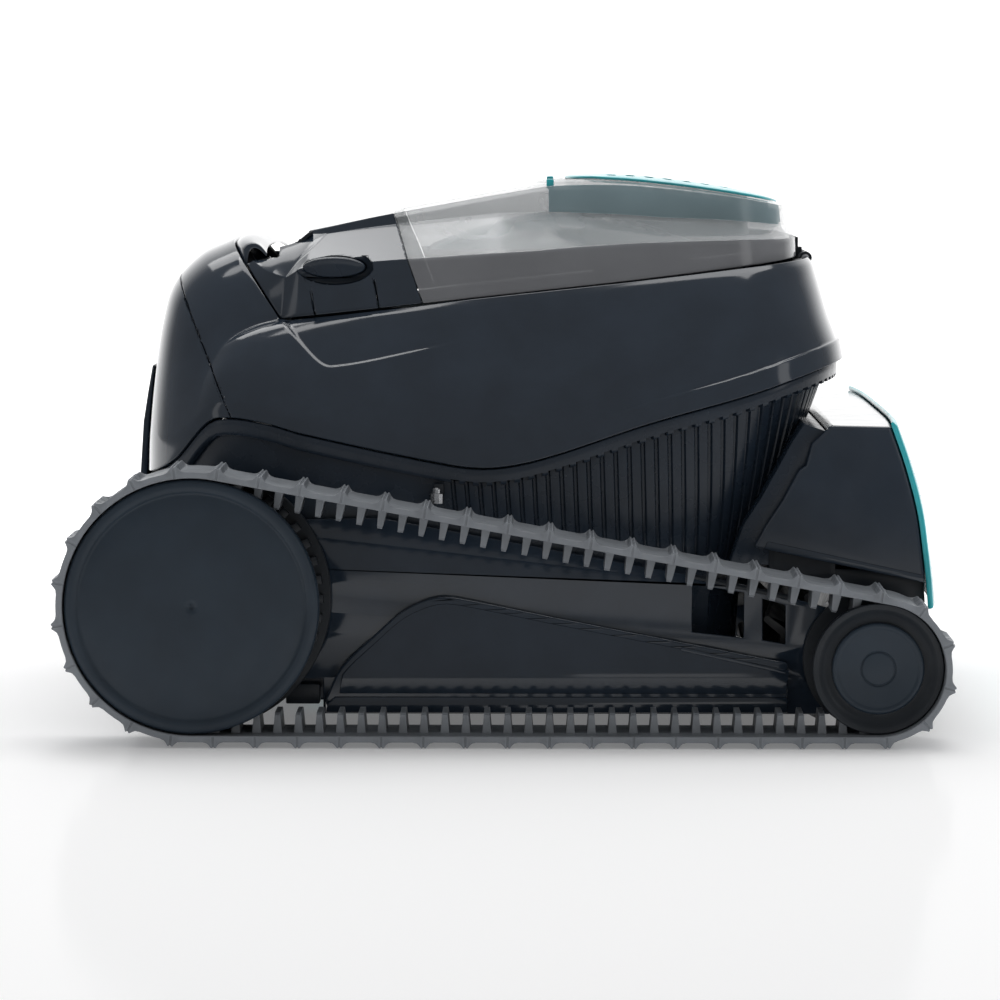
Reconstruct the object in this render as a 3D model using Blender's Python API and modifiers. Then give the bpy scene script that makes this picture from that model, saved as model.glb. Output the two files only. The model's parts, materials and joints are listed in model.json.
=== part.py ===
"""A tracked robotic pool cleaner, as an assembly of separate pieces.

Metres. +X is forward, +Y is the robot's left, +Z is up, and the origin is on the floor under the
middle of the machine. Every piece is one object, named as a person would name it.
"""

import math

import bmesh
import bpy
from mathutils import Matrix

# Running gear, in the side view
TRACK_OUT = 0.2000          # outer edge of each track, from the middle plane
TRACK_IN = 0.1590
BELT = 0.0030               # thickness of the belt between its lugs
LUG_HEIGHT = 0.0030
LUG_COUNT = 48
LUG_BASE = 0.0072
LUG_TIP = 0.0026
TOOTH_HEIGHT = 0.0105
TOOTH_BASE = 0.0056
TOOTH_IN, TOOTH_OUT = 0.1640, 0.1880
DRIVE_X, DRIVE_BELT_RADIUS = -0.1475, 0.0610
IDLER_X, IDLER_BELT_RADIUS = 0.1766, 0.0315
DRIVE_Z = DRIVE_BELT_RADIUS + BELT + LUG_HEIGHT
IDLER_Z = IDLER_BELT_RADIUS + BELT + LUG_HEIGHT

GAP = 0.0004                # between pieces that meet
WALL = 0.0030               # shells
PANEL_IN, PANEL_OUT = 0.1460, 0.1500
FENDER_OUT = 0.1560
AXLE_BASE = PANEL_OUT + GAP
WHEEL_IN = 0.1545           # inner face of the wheels
DISC_IN, DISC_OUT = 0.1911, 0.1995
DISC_RADIUS = 0.0603
DRUM_RADIUS = 0.0485
DRIVE_AXLE_RADIUS, IDLER_AXLE_RADIUS = 0.0050, 0.0040
BEARING_GAP = 0.0004

# Reduction gear inside each drive wheel
MODULE = 0.0024
RING_TEETH, PINION_TEETH = 30, 9
RING_RADIUS = MODULE * RING_TEETH / 2
PINION_RADIUS = MODULE * PINION_TEETH / 2
PINION_X = DRIVE_X + RING_RADIUS - PINION_RADIUS
GEAR_IN, GEAR_OUT = 0.1578, 0.1658

# Shells: (share of the way from the split line to the lid seam, rear x, front x, half width)
HOUSING_SECTIONS = [
    (0.00, -0.1800, 0.1680, 0.1500),
    (0.15, -0.1795, 0.1668, 0.1490),
    (0.17, -0.1790, 0.1650, 0.1475),
    (0.45, -0.1760, 0.1600, 0.1410),
    (0.68, -0.1720, 0.1568, 0.1325),
    (0.82, -0.1680, 0.1548, 0.1265),
    (0.94, -0.1520, 0.1530, 0.1200),
    (1.00, -0.1375, 0.1510, 0.1168),
]
# Lid: (share of the way up: 0 seam, 0.4 crease, 0.8 shoulder, 1 crown; rear x, front x, half width)
LID_CREASE, LID_SHOULDER = 0.4, 0.8
LID_SECTIONS = [
    (0.00, -0.1360, 0.1450, 0.1155),
    (LID_CREASE, -0.1345, 0.1446, 0.1118),
    (LID_SHOULDER, -0.1250, 0.1408, 0.0790),
    (0.97, -0.1242, 0.1400, 0.0770),
    (1.00, -0.0900, 0.1280, 0.0500),
    (1.003, -0.0500, 0.0800, 0.0080),
]
PLAN_POWER = 5.0            # of the rounded-rectangle plan
SPLIT_LINE = [              # lower edge of the upper housing, rear to front
    (-0.190, 0.117), (-0.163, 0.1305), (-0.145, 0.1500), (-0.1335, 0.1526), (-0.114, 0.1497),
    (-0.099, 0.1454), (-0.027, 0.1305), (-0.006, 0.1289), (0.0187, 0.1334), (0.0700, 0.1502),
    (0.120, 0.1641), (0.159, 0.1766), (0.172, 0.1790),
]
SEAM_LINE = [(-0.1375, 0.2369), (-0.1108, 0.1986), (-0.041, 0.2064), (0.0553, 0.2167), (0.1510, 0.2280)]
CROWN_LINE = [
    (-0.137, 0.2350), (-0.120, 0.2350), (-0.1015, 0.2392), (-0.065, 0.2475), (-0.020, 0.2563),
    (0.0067, 0.2615), (0.0206, 0.2640), (0.045, 0.2650), (0.067, 0.2643), (0.106, 0.2595), (0.146, 0.2520),
]
# How far up the lid its crease and its shoulder run, rear to front: (x, share of the rise from seam to crown)
CREASE_RISE = [
    (-0.130, 0.15), (-0.115, 0.42), (-0.102, 0.56), (-0.065, 0.51), (-0.033, 0.45), (0.016, 0.37), (0.146, 0.36),
]
SHOULDER_RISE = [
    (-0.130, 0.60), (-0.111, 0.85), (-0.098, 0.93), (-0.059, 0.87), (-0.005, 0.79), (0.019, 0.71), (0.076, 0.61),
    (0.120, 0.59), (0.146, 0.57),
]
BAND_HEIGHT = 0.0085
BAND_PLAN = (-0.1785, 0.1650, 0.1485)       # (rear, front, half width)
LID_WALL = 0.0025
LID_GAP = 0.0016             # over the rim that the lid rests on
BODY_TOP = (-0.1750, 0.1565, 0.1442)
BODY_BOTTOM = (-0.1700, 0.1180, 0.1440)
COVER_LINE = [(-0.190, 0.0985), (-0.142, 0.1000), (-0.105, 0.1180), (0.118, 0.0789), (0.160, 0.0712)]
CHASSIS_FLOOR = 0.0160
SHELL_POINTS = 40

LID_SPLIT = ((-0.0560, 0.250), (-0.0400, 0.205))      # opaque rear from clear front, in the side view
REAR_SPLIT = ((-0.1580, 0.208), (-0.1330, 0.154))     # shoulder from rear cover, in the side view
HANDLE_HALF = 0.085
HINGE_X, HINGE_Z = 0.1500, 0.2270
HINGE_PIN_RADIUS = 0.0018
BUTTON_X, BUTTON_Z = -0.0840, 0.2243
BUTTON_LENGTH, BUTTON_HEIGHT = 0.0305, 0.0098
BUTTON_IN, BUTTON_OUT = 0.1020, 0.1128

BRUSH_X, BRUSH_Z, BRUSH_RADIUS = 0.1500, 0.0360, 0.0310
IMPELLER_X = 0.0820
COLUMN_RADIUS = 0.0220
COLUMN_TOP = 0.2000
DUCT_RADIUS = 0.0360
SLOT_PITCH = 0.0097
FLAP_X, FLAP_Z = -0.0600, 0.0210
FLAP_LENGTH, FLAP_IN, FLAP_OUT = 0.0400, 0.0130, 0.0710
FLAP_AXIS = (FLAP_X - 0.0008, FLAP_Z - 0.0030)

SIDES = {"left": 1, "right": -1}


# ------------------------------------------------------------------ scene, materials, helpers

def clear_scene():
    for obj in list(bpy.data.objects):
        bpy.data.objects.remove(obj, do_unlink=True)


def make_collection(name):
    collection = bpy.data.collections.new(name)
    bpy.context.scene.collection.children.link(collection)
    return collection


def material(name, colour, roughness, metallic=0.0, alpha=1.0):
    made = bpy.data.materials.new(name)
    made.use_nodes = True
    shader = made.node_tree.nodes["Principled BSDF"]
    shader.inputs["Base Color"].default_value = (*colour, 1.0)
    shader.inputs["Roughness"].default_value = roughness
    shader.inputs["Metallic"].default_value = metallic
    shader.inputs["Alpha"].default_value = alpha
    return made


def add(name, data, finish=None, place=(0, 0, 0), turn=(0, 0, 0), cutter=False):
    """An object in the parts' collection or, as a cutter, in the hidden one."""
    obj = bpy.data.objects.new(name, data)
    obj.location, obj.rotation_euler = place, turn
    (CUTTERS if cutter else PARTS).objects.link(obj)
    if cutter:
        obj.hide_render = True
        obj.display_type = "WIRE"
    elif finish:
        data.materials.append(finish)
    return obj


def mesh_from(name, build):
    """A mesh filled by build(bm), with its normals pointing out."""
    bm = bmesh.new()
    build(bm)
    bmesh.ops.recalc_face_normals(bm, faces=bm.faces)
    mesh = bpy.data.meshes.new(name)
    bm.to_mesh(mesh)
    bm.free()
    return mesh


def box(name, low, high, finish=None, cutter=False, bevel=0.0, turn=(0, 0, 0)):
    size = [b - a for a, b in zip(low, high)]
    centre = [(a + b) / 2 for a, b in zip(low, high)]

    def build(bm):
        bmesh.ops.create_cube(bm, size=1.0)
        bmesh.ops.scale(bm, vec=size, verts=bm.verts)

    obj = add(name, mesh_from(name, build), finish, centre, turn, cutter)
    if bevel:
        rounded = obj.modifiers.new("edges", "BEVEL")
        rounded.width, rounded.segments = bevel, 2
    return obj


def cylinder(name, radius, depth, place, finish=None, turn=(0, 0, 0), cutter=False, sides=24):
    def build(bm):
        bmesh.ops.create_cone(bm, cap_ends=True, segments=sides, radius1=radius, radius2=radius, depth=depth)

    return add(name, mesh_from(name, build), finish, place, turn, cutter)


def turned(name, profile, place, finish, turn=(0, 0, 0), steps=32, closed=True):
    """A profile of (radius, height) swept round local Z. It runs down its outer side."""
    mesh = bpy.data.meshes.new(name)
    count = len(profile)
    edges = [(i, (i + 1) % count) for i in range(count if closed else count - 1)]
    mesh.from_pydata([(r, 0, h) for r, h in profile], edges, [])
    obj = add(name, mesh, finish, place, turn)
    screw = obj.modifiers.new("turn", "SCREW")
    screw.steps = screw.render_steps = steps
    screw.use_merge_vertices = True
    screw.merge_threshold = 0.00005
    screw.use_smooth_shade = True
    return obj


def outward(side):
    """Rotation that points local Z out of the given side."""
    return (-side * math.pi / 2, 0, 0)


def outline_curve(name, outlines, thickness):
    curve = bpy.data.curves.new(name, "CURVE")
    curve.dimensions, curve.fill_mode, curve.extrude = "2D", "BOTH", thickness / 2
    for points in outlines:
        spline = curve.splines.new("POLY")
        spline.points.add(len(points) - 1)
        for point, (x, y) in zip(spline.points, points):
            point.co = (x, y, 0, 1)
        spline.use_cyclic_u = True
    return curve


def plate(name, outlines, thickness, place, finish=None, turn=(math.pi / 2, 0, 0), cutter=False):
    """Flat outlines in the side view (x, z), given a thickness across, as a mesh."""
    flat = add(name + "_outline", outline_curve(name, outlines, thickness), None, place, turn)
    bpy.context.view_layer.update()
    graph = bpy.context.evaluated_depsgraph_get()
    mesh = bpy.data.meshes.new_from_object(flat.evaluated_get(graph))
    bm = bmesh.new()
    bm.from_mesh(mesh)
    bmesh.ops.remove_doubles(bm, verts=bm.verts, dist=0.00001)
    bmesh.ops.recalc_face_normals(bm, faces=bm.faces)
    bm.to_mesh(mesh)
    bm.free()
    obj = add(name, mesh, finish, place, turn, cutter)
    bpy.data.objects.remove(flat, do_unlink=True)
    return obj


def boolean(target, other, operation, solver="EXACT"):
    step = target.modifiers.new(operation.lower(), "BOOLEAN")
    step.object, step.operation, step.solver = other, operation, solver
    return target


def cut(target, *cutters, solver="EXACT"):
    for cutter in cutters:
        boolean(target, cutter, "DIFFERENCE", solver)
    return target


def join(target, *others, solver="EXACT"):
    """Adds other pieces to the target, and keeps them out of the parts."""
    for other in others:
        boolean(target, other, "UNION", solver)
        hide(other)
    return target


def hide(obj):
    for collection in list(obj.users_collection):
        collection.objects.unlink(obj)
    CUTTERS.objects.link(obj)
    obj.hide_render = True
    obj.display_type = "WIRE"


def loft(name, rings, finish=None, caps=True, cutter=False):
    """Skins closed rings of equally many points. Without caps the last ring joins the first."""
    count = len(rings[0])

    def build(bm):
        rows = [[bm.verts.new(point) for point in ring] for ring in rings]
        pairs = list(zip(rows, rows[1:])) + ([] if caps else [(rows[-1], rows[0])])
        for lower, upper in pairs:
            for i in range(count):
                j = (i + 1) % count
                bm.faces.new((lower[i], lower[j], upper[j], upper[i]))
        if caps:
            bm.faces.new(rows[0])
            bm.faces.new(rows[-1])
            bmesh.ops.triangulate(bm, faces=[f for f in bm.faces if len(f.verts) > 4])

    return add(name, mesh_from(name, build), finish, cutter=cutter)


def line_through(points):
    """A smooth curve z(x) through (x, z) points, level beyond both ends."""
    slopes = []
    for i in range(len(points)):
        (x0, z0), (x1, z1) = points[max(i - 1, 0)], points[min(i + 1, len(points) - 1)]
        slopes.append((z1 - z0) / (x1 - x0))

    def z_at(x):
        if x <= points[0][0]:
            return points[0][1]
        for i in range(len(points) - 1):
            (x0, z0), (x1, z1) = points[i], points[i + 1]
            if x <= x1:
                t, span = (x - x0) / (x1 - x0), x1 - x0
                a, b = 2 * t**3 - 3 * t**2 + 1, t**3 - 2 * t**2 + t
                return a * z0 + b * span * slopes[i] + (1 - a) * z1 + (t**3 - t**2) * span * slopes[i + 1]
        return points[-1][1]

    return z_at


def plan_ring(rear, front, half_width, count=SHELL_POINTS, power=PLAN_POWER):
    """(x, y) points of a rounded rectangle, evenly spaced along it from its front middle."""
    middle, reach = (rear + front) / 2, (front - rear) / 2
    fine = []
    for i in range(count * 40):
        angle = math.tau * i / (count * 40)
        c, s = math.cos(angle), math.sin(angle)
        fine.append((
            middle + reach * math.copysign(abs(c) ** (2 / power), c),
            half_width * math.copysign(abs(s) ** (2 / power), s),
        ))
    fine.append(fine[0])
    lengths = [0.0]
    for a, b in zip(fine, fine[1:]):
        lengths.append(lengths[-1] + math.dist(a, b))
    ring, k = [], 0
    for i in range(count):
        wanted = lengths[-1] * i / count
        while lengths[k + 1] < wanted:
            k += 1
        t = (wanted - lengths[k]) / (lengths[k + 1] - lengths[k])
        ring.append(tuple(a + t * (b - a) for a, b in zip(fine[k], fine[k + 1])))
    return ring


split_z = line_through(SPLIT_LINE)
crown_z = line_through(CROWN_LINE)
SPLIT_RING = plan_ring(*HOUSING_SECTIONS[0][1:])
SEAM_RING = plan_ring(*HOUSING_SECTIONS[-1][1:])


def between(points, x):
    """z of straight stretches through (x, z) points, level beyond both ends."""
    for (x0, z0), (x1, z1) in zip(points, points[1:]):
        if x <= x1:
            return z0 + (z1 - z0) * (max(x, x0) - x0) / (x1 - x0)
    return points[-1][1]


def seam_z(x):
    """The lid's lower edge: straight stretches, so it keeps its corner where the shoulder begins."""
    return between(SEAM_LINE, x)


def slab_cutter(name, line, behind, half=0.25, shift=0.0):
    """A half-space across the machine, behind or ahead of a slanting line in the side view."""
    (x0, z0), (x1, z1) = line
    length = math.hypot(x1 - x0, z1 - z0)
    ux, uz = (x0 - x1) / length, (z0 - z1) / length
    side = -1 if behind else 1
    nx, nz = side * uz, -side * ux
    cx, cz = (x0 + x1) / 2 + nx * shift, (z0 + z1) / 2 + nz * shift
    far = 2 * half
    points = [
        (cx - ux * far, cz - uz * far), (cx + ux * far, cz + uz * far),
        (cx + ux * far + nx * far, cz + uz * far + nz * far),
        (cx - ux * far + nx * far, cz - uz * far + nz * far),
    ]
    return plate(name, [points], 2 * half, (0, 0, 0), cutter=True)


# ------------------------------------------------------------------ shells

def housing_rings(inset):
    """Rings of the upper housing from its lower edge to the lid seam, moved in by inset."""
    rings = []
    for share, rear, front, half in HOUSING_SECTIONS:
        plan = plan_ring(rear + inset, front - inset, half - inset)
        rings.append([
            (x, y, split_z(a[0]) + GAP / 2 + share * (seam_z(b[0]) - split_z(a[0])))
            for (x, y), a, b in zip(plan, SPLIT_RING, SEAM_RING)
        ])
    return rings


def housing_shell(name, finish):
    return loft(name, housing_rings(0) + housing_rings(WALL)[::-1], finish, caps=False)


def make_upper_housing():
    housing = housing_shell("upper_housing", GLOSS)
    cut(housing, slab_cutter("shoulder_cut", REAR_SPLIT, behind=True, shift=-GAP / 2))
    notch = ((0.1395, -0.0445, 0.2185), (0.1600, 0.0445, 0.2400))
    return cut(housing, box("hinge_notch", *notch, cutter=True))


def make_rear_cover():
    cover = housing_shell("rear_cover", GLOSS)
    return cut(cover, slab_cutter("rear_cover_cut", REAR_SPLIT, behind=False, shift=-GAP / 2))


def make_rear_panel():
    """The raised middle panel on the back."""
    outline = [
        (-0.1800, 0.1690), (-0.1828, 0.1450), (-0.1845, 0.1180), (-0.1843, 0.0950), (-0.1798, 0.0930),
        (-0.1798, 0.1162), (-0.1812, 0.1180), (-0.1808, 0.1300), (-0.1795, 0.1480), (-0.1778, 0.1680),
    ]
    return plate("rear_panel", [outline], 0.110, (0, 0, 0), NAVY)


def make_shell_band():
    """The band between the upper housing and the body wall."""
    rear, front, half = BAND_PLAN

    def ring(inset, drop):
        plan = plan_ring(rear + inset, front - inset, half - inset)
        return [(x, y, split_z(a[0]) - drop) for (x, y), a in zip(plan, SPLIT_RING)]

    rings = [ring(0, GAP), ring(0.0005, BAND_HEIGHT), ring(WALL, BAND_HEIGHT), ring(WALL, GAP)]
    return loft("shell_band", rings, NAVY, caps=False)


def belt_cover_z(x):
    """The line behind the upper run of the belt, where the body wall meets the chassis."""
    return between(COVER_LINE, x)


def body_ring(section, inset, height):
    rear, front, half = section
    return [(x, y, height(x)) for x, y in plan_ring(rear + inset, front - inset, half - inset)]


def make_body_wall():
    """From behind the upper run of the belt up to the band."""
    def rings(inset):
        bottom = body_ring(BODY_BOTTOM, inset, lambda x: belt_cover_z(x) + GAP / 2)
        rear, front, half = BODY_TOP
        plan = plan_ring(rear + inset, front - inset, half - inset)
        top = [(x, y, split_z(a[0]) - BAND_HEIGHT - GAP) for (x, y), a in zip(plan, SPLIT_RING)]
        middle = [tuple((a + b) / 2 for a, b in zip(low, high)) for low, high in zip(bottom, top)]
        return [bottom, middle, top]

    return loft("body_wall", rings(0) + rings(WALL)[::-1], NAVY, caps=False)


def make_chassis_base():
    rear, front, half = BODY_BOTTOM

    def top(x):
        return belt_cover_z(x) - GAP

    def level(z):
        return lambda x: z

    keel = (rear + 0.018, front - 0.012, half - 0.006)
    bilge = (rear + 0.006, front - 0.004, half)
    rings = [
        body_ring(keel, 0, level(CHASSIS_FLOOR)), body_ring(bilge, 0, level(CHASSIS_FLOOR + 0.006)),
        body_ring(BODY_BOTTOM, 0, top), body_ring(BODY_BOTTOM, WALL, top),
        body_ring(bilge, WALL, level(CHASSIS_FLOOR + 0.006)),
        body_ring(keel, WALL, level(CHASSIS_FLOOR + WALL)),
    ]
    base = loft("chassis_base", rings, NAVY)
    for name, side in SIDES.items():
        low, high = sorted((side * (FLAP_IN - 0.001), side * (FLAP_OUT + 0.001)))
        inlet = box(f"inlet_cut_{name}", (FLAP_X - FLAP_LENGTH - 0.001, low, 0.0), (FLAP_X + 0.003, high, 0.030),
                    cutter=True)
        shaft = cylinder(f"shaft_cut_{name}", 0.0055, 0.030, (PINION_X, side * 0.142, DRIVE_Z),
                         turn=outward(side), cutter=True)
        cut(base, inlet, shaft)
    return base


def make_bottom_plate():
    """The plate under the chassis floor, with the two suction inlets."""
    low, high = 0.0120, CHASSIS_FLOOR - GAP
    plan = plan_ring(-0.125, 0.095, 0.118, count=32)
    bottom = loft("bottom_plate", [[(x, y, z) for x, y in plan] for z in (low, high)], NAVY)
    for name, side in SIDES.items():
        inner, outer = sorted((side * (FLAP_IN + 0.004), side * (FLAP_OUT - 0.004)))
        cut(bottom, box(f"mouth_{name}", (FLAP_X - FLAP_LENGTH + 0.004, inner, 0.0),
                        (FLAP_X - 0.006, outer, 0.030), cutter=True))
    return bottom


def make_side_panel(name, side):
    """Carries both axles. Its fender stands proud under the upper run of the track."""
    idler_end = [
        (IDLER_X + 0.015 * math.cos(a), IDLER_Z + 0.015 * math.sin(a))
        for a in [math.radians(d) for d in range(-75, 91, 33)]
    ]
    drive_end = [
        (DRIVE_X + 0.036 * math.cos(a), DRIVE_Z + 0.036 * math.sin(a))
        for a in [math.radians(d) for d in range(90, 251, 32)]
    ]
    outline = [(-0.0880, 0.0100), (0.1560, 0.0100)] + idler_end + [
        (0.1540, 0.0620), (0.1180, 0.0720), (-0.0600, 0.1050)] + drive_end + [(-0.1040, 0.0270), (-0.0880, 0.0270)]
    windows = [
        [(0.0900, 0.0500), (0.1150, 0.0470), (0.1150, 0.0690), (0.0900, 0.0730)],
        [(0.1240, 0.0460), (0.1350, 0.0440), (0.1350, 0.0630), (0.1240, 0.0660)],
    ]
    thickness = PANEL_OUT - PANEL_IN
    panel = plate(f"side_panel_{name}", [outline] + windows, thickness,
                  (0, side * (PANEL_IN + PANEL_OUT) / 2, 0), GLOSS)
    fender_line = [
        (0.1360, 0.0356), (0.1007, 0.0425), (0.0258, 0.0571), (-0.0210, 0.0665), (-0.0300, 0.0674),
        (-0.0384, 0.0657), (-0.0500, 0.0600), (-0.0620, 0.0496), (-0.0792, 0.0330), (-0.0867, 0.0180),
        (-0.0867, 0.0112), (0.1360, 0.0112),
    ]
    depth = FENDER_OUT - PANEL_IN - 0.001
    fender = plate(f"fender_{name}", [fender_line], depth, (0, side * (FENDER_OUT - depth / 2), 0))
    join(panel, fender)
    pinion_hole = cylinder(f"pinion_hole_{name}", 0.0055, 0.020, (PINION_X, side * PANEL_IN, DRIVE_Z),
                           turn=outward(side), cutter=True)
    return cut(panel, pinion_hole)


def bumper_sections(profile, half, bulge):
    """The side-view profile repeated across the machine, its front bowed forward in the middle."""
    sections = []
    for y in [half * k / 6 for k in range(-6, 7)]:
        bow = bulge * (1 - (y / half) ** 4)
        sections.append([(x + bow * max(0, (x - 0.150) / 0.050), y, z) for x, z in profile])
    return sections


BUMPER_FRONT = [(0.1850, 0.1490), (0.1915, 0.1305), (0.1975, 0.1080), (0.2005, 0.0870), (0.2020, 0.0745)]
BUMPER_HALF, BUMPER_BOW = 0.1485, 0.0050


def make_front_bumper():
    outer = [
        (0.1196, 0.0906), (0.1253, 0.1012), (0.1335, 0.1136), (0.1412, 0.1280), (0.1475, 0.1410), (0.1566, 0.1496),
    ] + BUMPER_FRONT
    bumper = loft("front_bumper", bumper_sections(outer, BUMPER_HALF, BUMPER_BOW), GLOSS)
    inner = [(0.1000, 0.0500), (0.1000, 0.1468), (0.1600, 0.1468)] + [
        (x - WALL, z - WALL * 0.9) for x, z in BUMPER_FRONT[:-1]] + [(0.1985, 0.0500)]
    hollow = loft("bumper_hollow", bumper_sections(inner, BUMPER_HALF - WALL, BUMPER_BOW), cutter=True)
    return cut(bumper, hollow)


def make_bumper_beam():
    """Ties the bumper and both side panels together, over the brush."""
    box("bumper_beam", (0.1265, -0.1440, 0.0745), (0.1600, 0.1440, 0.0925), DARK, bevel=0.003)


def make_bumper_trim():
    """The turquoise strip that wraps the bumper's front."""
    line = [(0.1828, 0.1512)] + BUMPER_FRONT + [(0.2030, 0.0610)]
    profile = [(x + 0.0032, z + 0.0004) for x, z in line] + [(x + GAP + 0.0002, z - 0.0002) for x, z in line[::-1]]
    profile[-1] = (line[0][0] + 0.0022, line[0][1] - 0.0010)
    return loft("bumper_trim", bumper_sections(profile, BUMPER_HALF, BUMPER_BOW), TURQUOISE)


def make_carry_handle():
    """A curled lip across the back of the lid opening, with the floor of its finger recess."""
    outline = [
        (-0.1325, 0.2210), (-0.1330, 0.2365), (-0.1310, 0.2400), (-0.1270, 0.2420), (-0.1215, 0.2410),
        (-0.1165, 0.2375), (-0.1165, 0.2355), (-0.1220, 0.2370), (-0.1270, 0.2362), (-0.1300, 0.2330),
        (-0.1305, 0.2245), (-0.1140, 0.2245), (-0.1140, 0.2210),
    ]
    rear, front, half = HOUSING_SECTIONS[-1][1:]
    middle, reach = (rear + front) / 2, (front - rear) / 2
    back, mouth = outline[0][0], outline[-1][0]
    sections = []
    for y in [HANDLE_HALF * k / 6 for k in range(-6, 7)]:
        rim = middle - reach * (1 - abs(y / half) ** PLAN_POWER) ** (1 / PLAN_POWER)
        sections.append([(x + (rim - rear) * (mouth - x) / (mouth - back), y, z) for x, z in outline])
    return loft("carry_handle", sections, GLOSS)


# ------------------------------------------------------------------ lid

def lid_rise(x, share):
    """Share of the rise from seam to crown at a share of the way up the lid's sections."""
    crease, shoulder = between(CREASE_RISE, x), between(SHOULDER_RISE, x)
    if share <= LID_CREASE:
        return crease * share / LID_CREASE
    if share <= LID_SHOULDER:
        return crease + (shoulder - crease) * (share - LID_CREASE) / (LID_SHOULDER - LID_CREASE)
    return shoulder + (1 - shoulder) * (share - LID_SHOULDER) / (1 - LID_SHOULDER)


def lid_rings(inset, sections=LID_SECTIONS):
    """Rings of the lid from its seam to its crown, moved in by inset."""
    rings = []
    for share, rear, front, half in sections:
        shrink = min(inset, half * 0.5)
        plan = plan_ring(rear + shrink, front - shrink, half - shrink)
        rings.append([
            (x, y, seam_z(a[0]) + LID_GAP + lid_rise(x, share) * (crown_z(x) - inset - seam_z(a[0])))
            for (x, y), a in zip(plan, SEAM_RING)
        ])
    return rings


def lid_dome(name, finish, outer=0.0, inner=LID_WALL):
    return loft(name, lid_rings(inner)[::-1] + lid_rings(outer), finish)


def handle_notch(name):
    return box(name, (-0.1600, -HANDLE_HALF - 0.002, 0.2000), (-0.1125, HANDLE_HALF + 0.002, 0.2700), cutter=True)


def oval(length, height, count=24):
    return [
        (length / 2 * math.cos(math.tau * i / count), height / 2 * math.sin(math.tau * i / count))
        for i in range(count)
    ]


def latch_block(name, side):
    """The pocket behind each release button, trimmed to the inside of the lid."""
    low, high = sorted((side * 0.0960, side * 0.1200))
    low_corner, high_corner = (BUTTON_X - 0.021, low, 0.2110), (BUTTON_X + 0.021, high, 0.2345)
    block = box(f"latch_block_{name}", low_corner, high_corner, cutter=True)
    core = loft(f"lid_core_{name}", lid_rings(0.0005), cutter=True)
    return boolean(block, core, "INTERSECT")


def make_lid_frame():
    """The opaque rear of the lid, with the latch pockets."""
    frame = lid_dome("lid_frame", GLOSS)
    cut(frame, slab_cutter("lid_front_cut", LID_SPLIT, behind=False, shift=-GAP / 2), handle_notch("frame_notch"))
    for name, side in SIDES.items():
        join(frame, latch_block(name, side))
        place = (BUTTON_X, side * 0.1195, BUTTON_Z)
        recess = plate(f"recess_{name}", [oval(0.0378, 0.0170)], 0.030, place, cutter=True)
        bore_depth = 0.1400 - (BUTTON_IN - 0.0040)
        bore = plate(f"bore_{name}", [oval(BUTTON_LENGTH + 2 * GAP, BUTTON_HEIGHT + 2 * GAP)], bore_depth,
                     (BUTTON_X, side * (0.1400 - bore_depth / 2), BUTTON_Z), cutter=True)
        cut(frame, recess, bore)
    return frame


def make_lid_window():
    """The smoky clear front of the lid."""
    window = lid_dome("lid_window", SMOKE)
    cut(window, slab_cutter("lid_rear_cut", LID_SPLIT, behind=True, shift=-GAP / 2))
    return cut(window, cylinder("outlet_hole", 0.0405, 0.060, (IMPELLER_X, 0, 0.255), cutter=True, sides=32))


def make_outlet_grille():
    """The turquoise plate on the roof, slotted over the outlet."""
    sections = [LID_SECTIONS[k] for k in (0, 2, 3, 4, 5)]
    upper, lower = lid_rings(-0.0026, sections), lid_rings(-0.0008, sections)
    grille = loft("outlet_grille", lower[::-1] + upper, TURQUOISE)
    plan = plan_ring(0.0290, 0.1370, 0.0600, count=24, power=3.0)
    keep = loft("grille_outline", [[(x, y, z) for x, y in plan] for z in (0.235, 0.280)], cutter=True)
    boolean(grille, keep, "INTERSECT", solver="MANIFOLD")
    for k in range(-3, 4):
        x = IMPELLER_X + SLOT_PITCH * k
        half = 0.036 * math.sqrt(1 - (k / 4.2) ** 2)
        slot = box(f"slot_{k + 3}", (x - 0.0022, -half, 0.235), (x + 0.0022, half, 0.280), cutter=True)
        cut(grille, slot, solver="MANIFOLD")
    return grille


def make_outlet_throat():
    """Leads the outflow from the impeller up to the grille."""
    profile = [
        (0.0400, 0.2560), (0.0405, 0.2400), (0.0460, 0.2345), (0.0560, 0.2315), (0.0560, 0.2295),
        (0.0450, 0.2318), (0.0385, 0.2380), (0.0380, 0.2560),
    ]
    return turned("outlet_throat", profile, (IMPELLER_X, 0, 0), TEAL_CLEAR, steps=24)


def hinge_barrel(name, middle_y, length):
    place = (HINGE_X, middle_y, HINGE_Z)
    return cylinder(name, 0.0032, length, place, turn=(math.pi / 2, 0, 0), cutter=True, sides=16)


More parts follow.
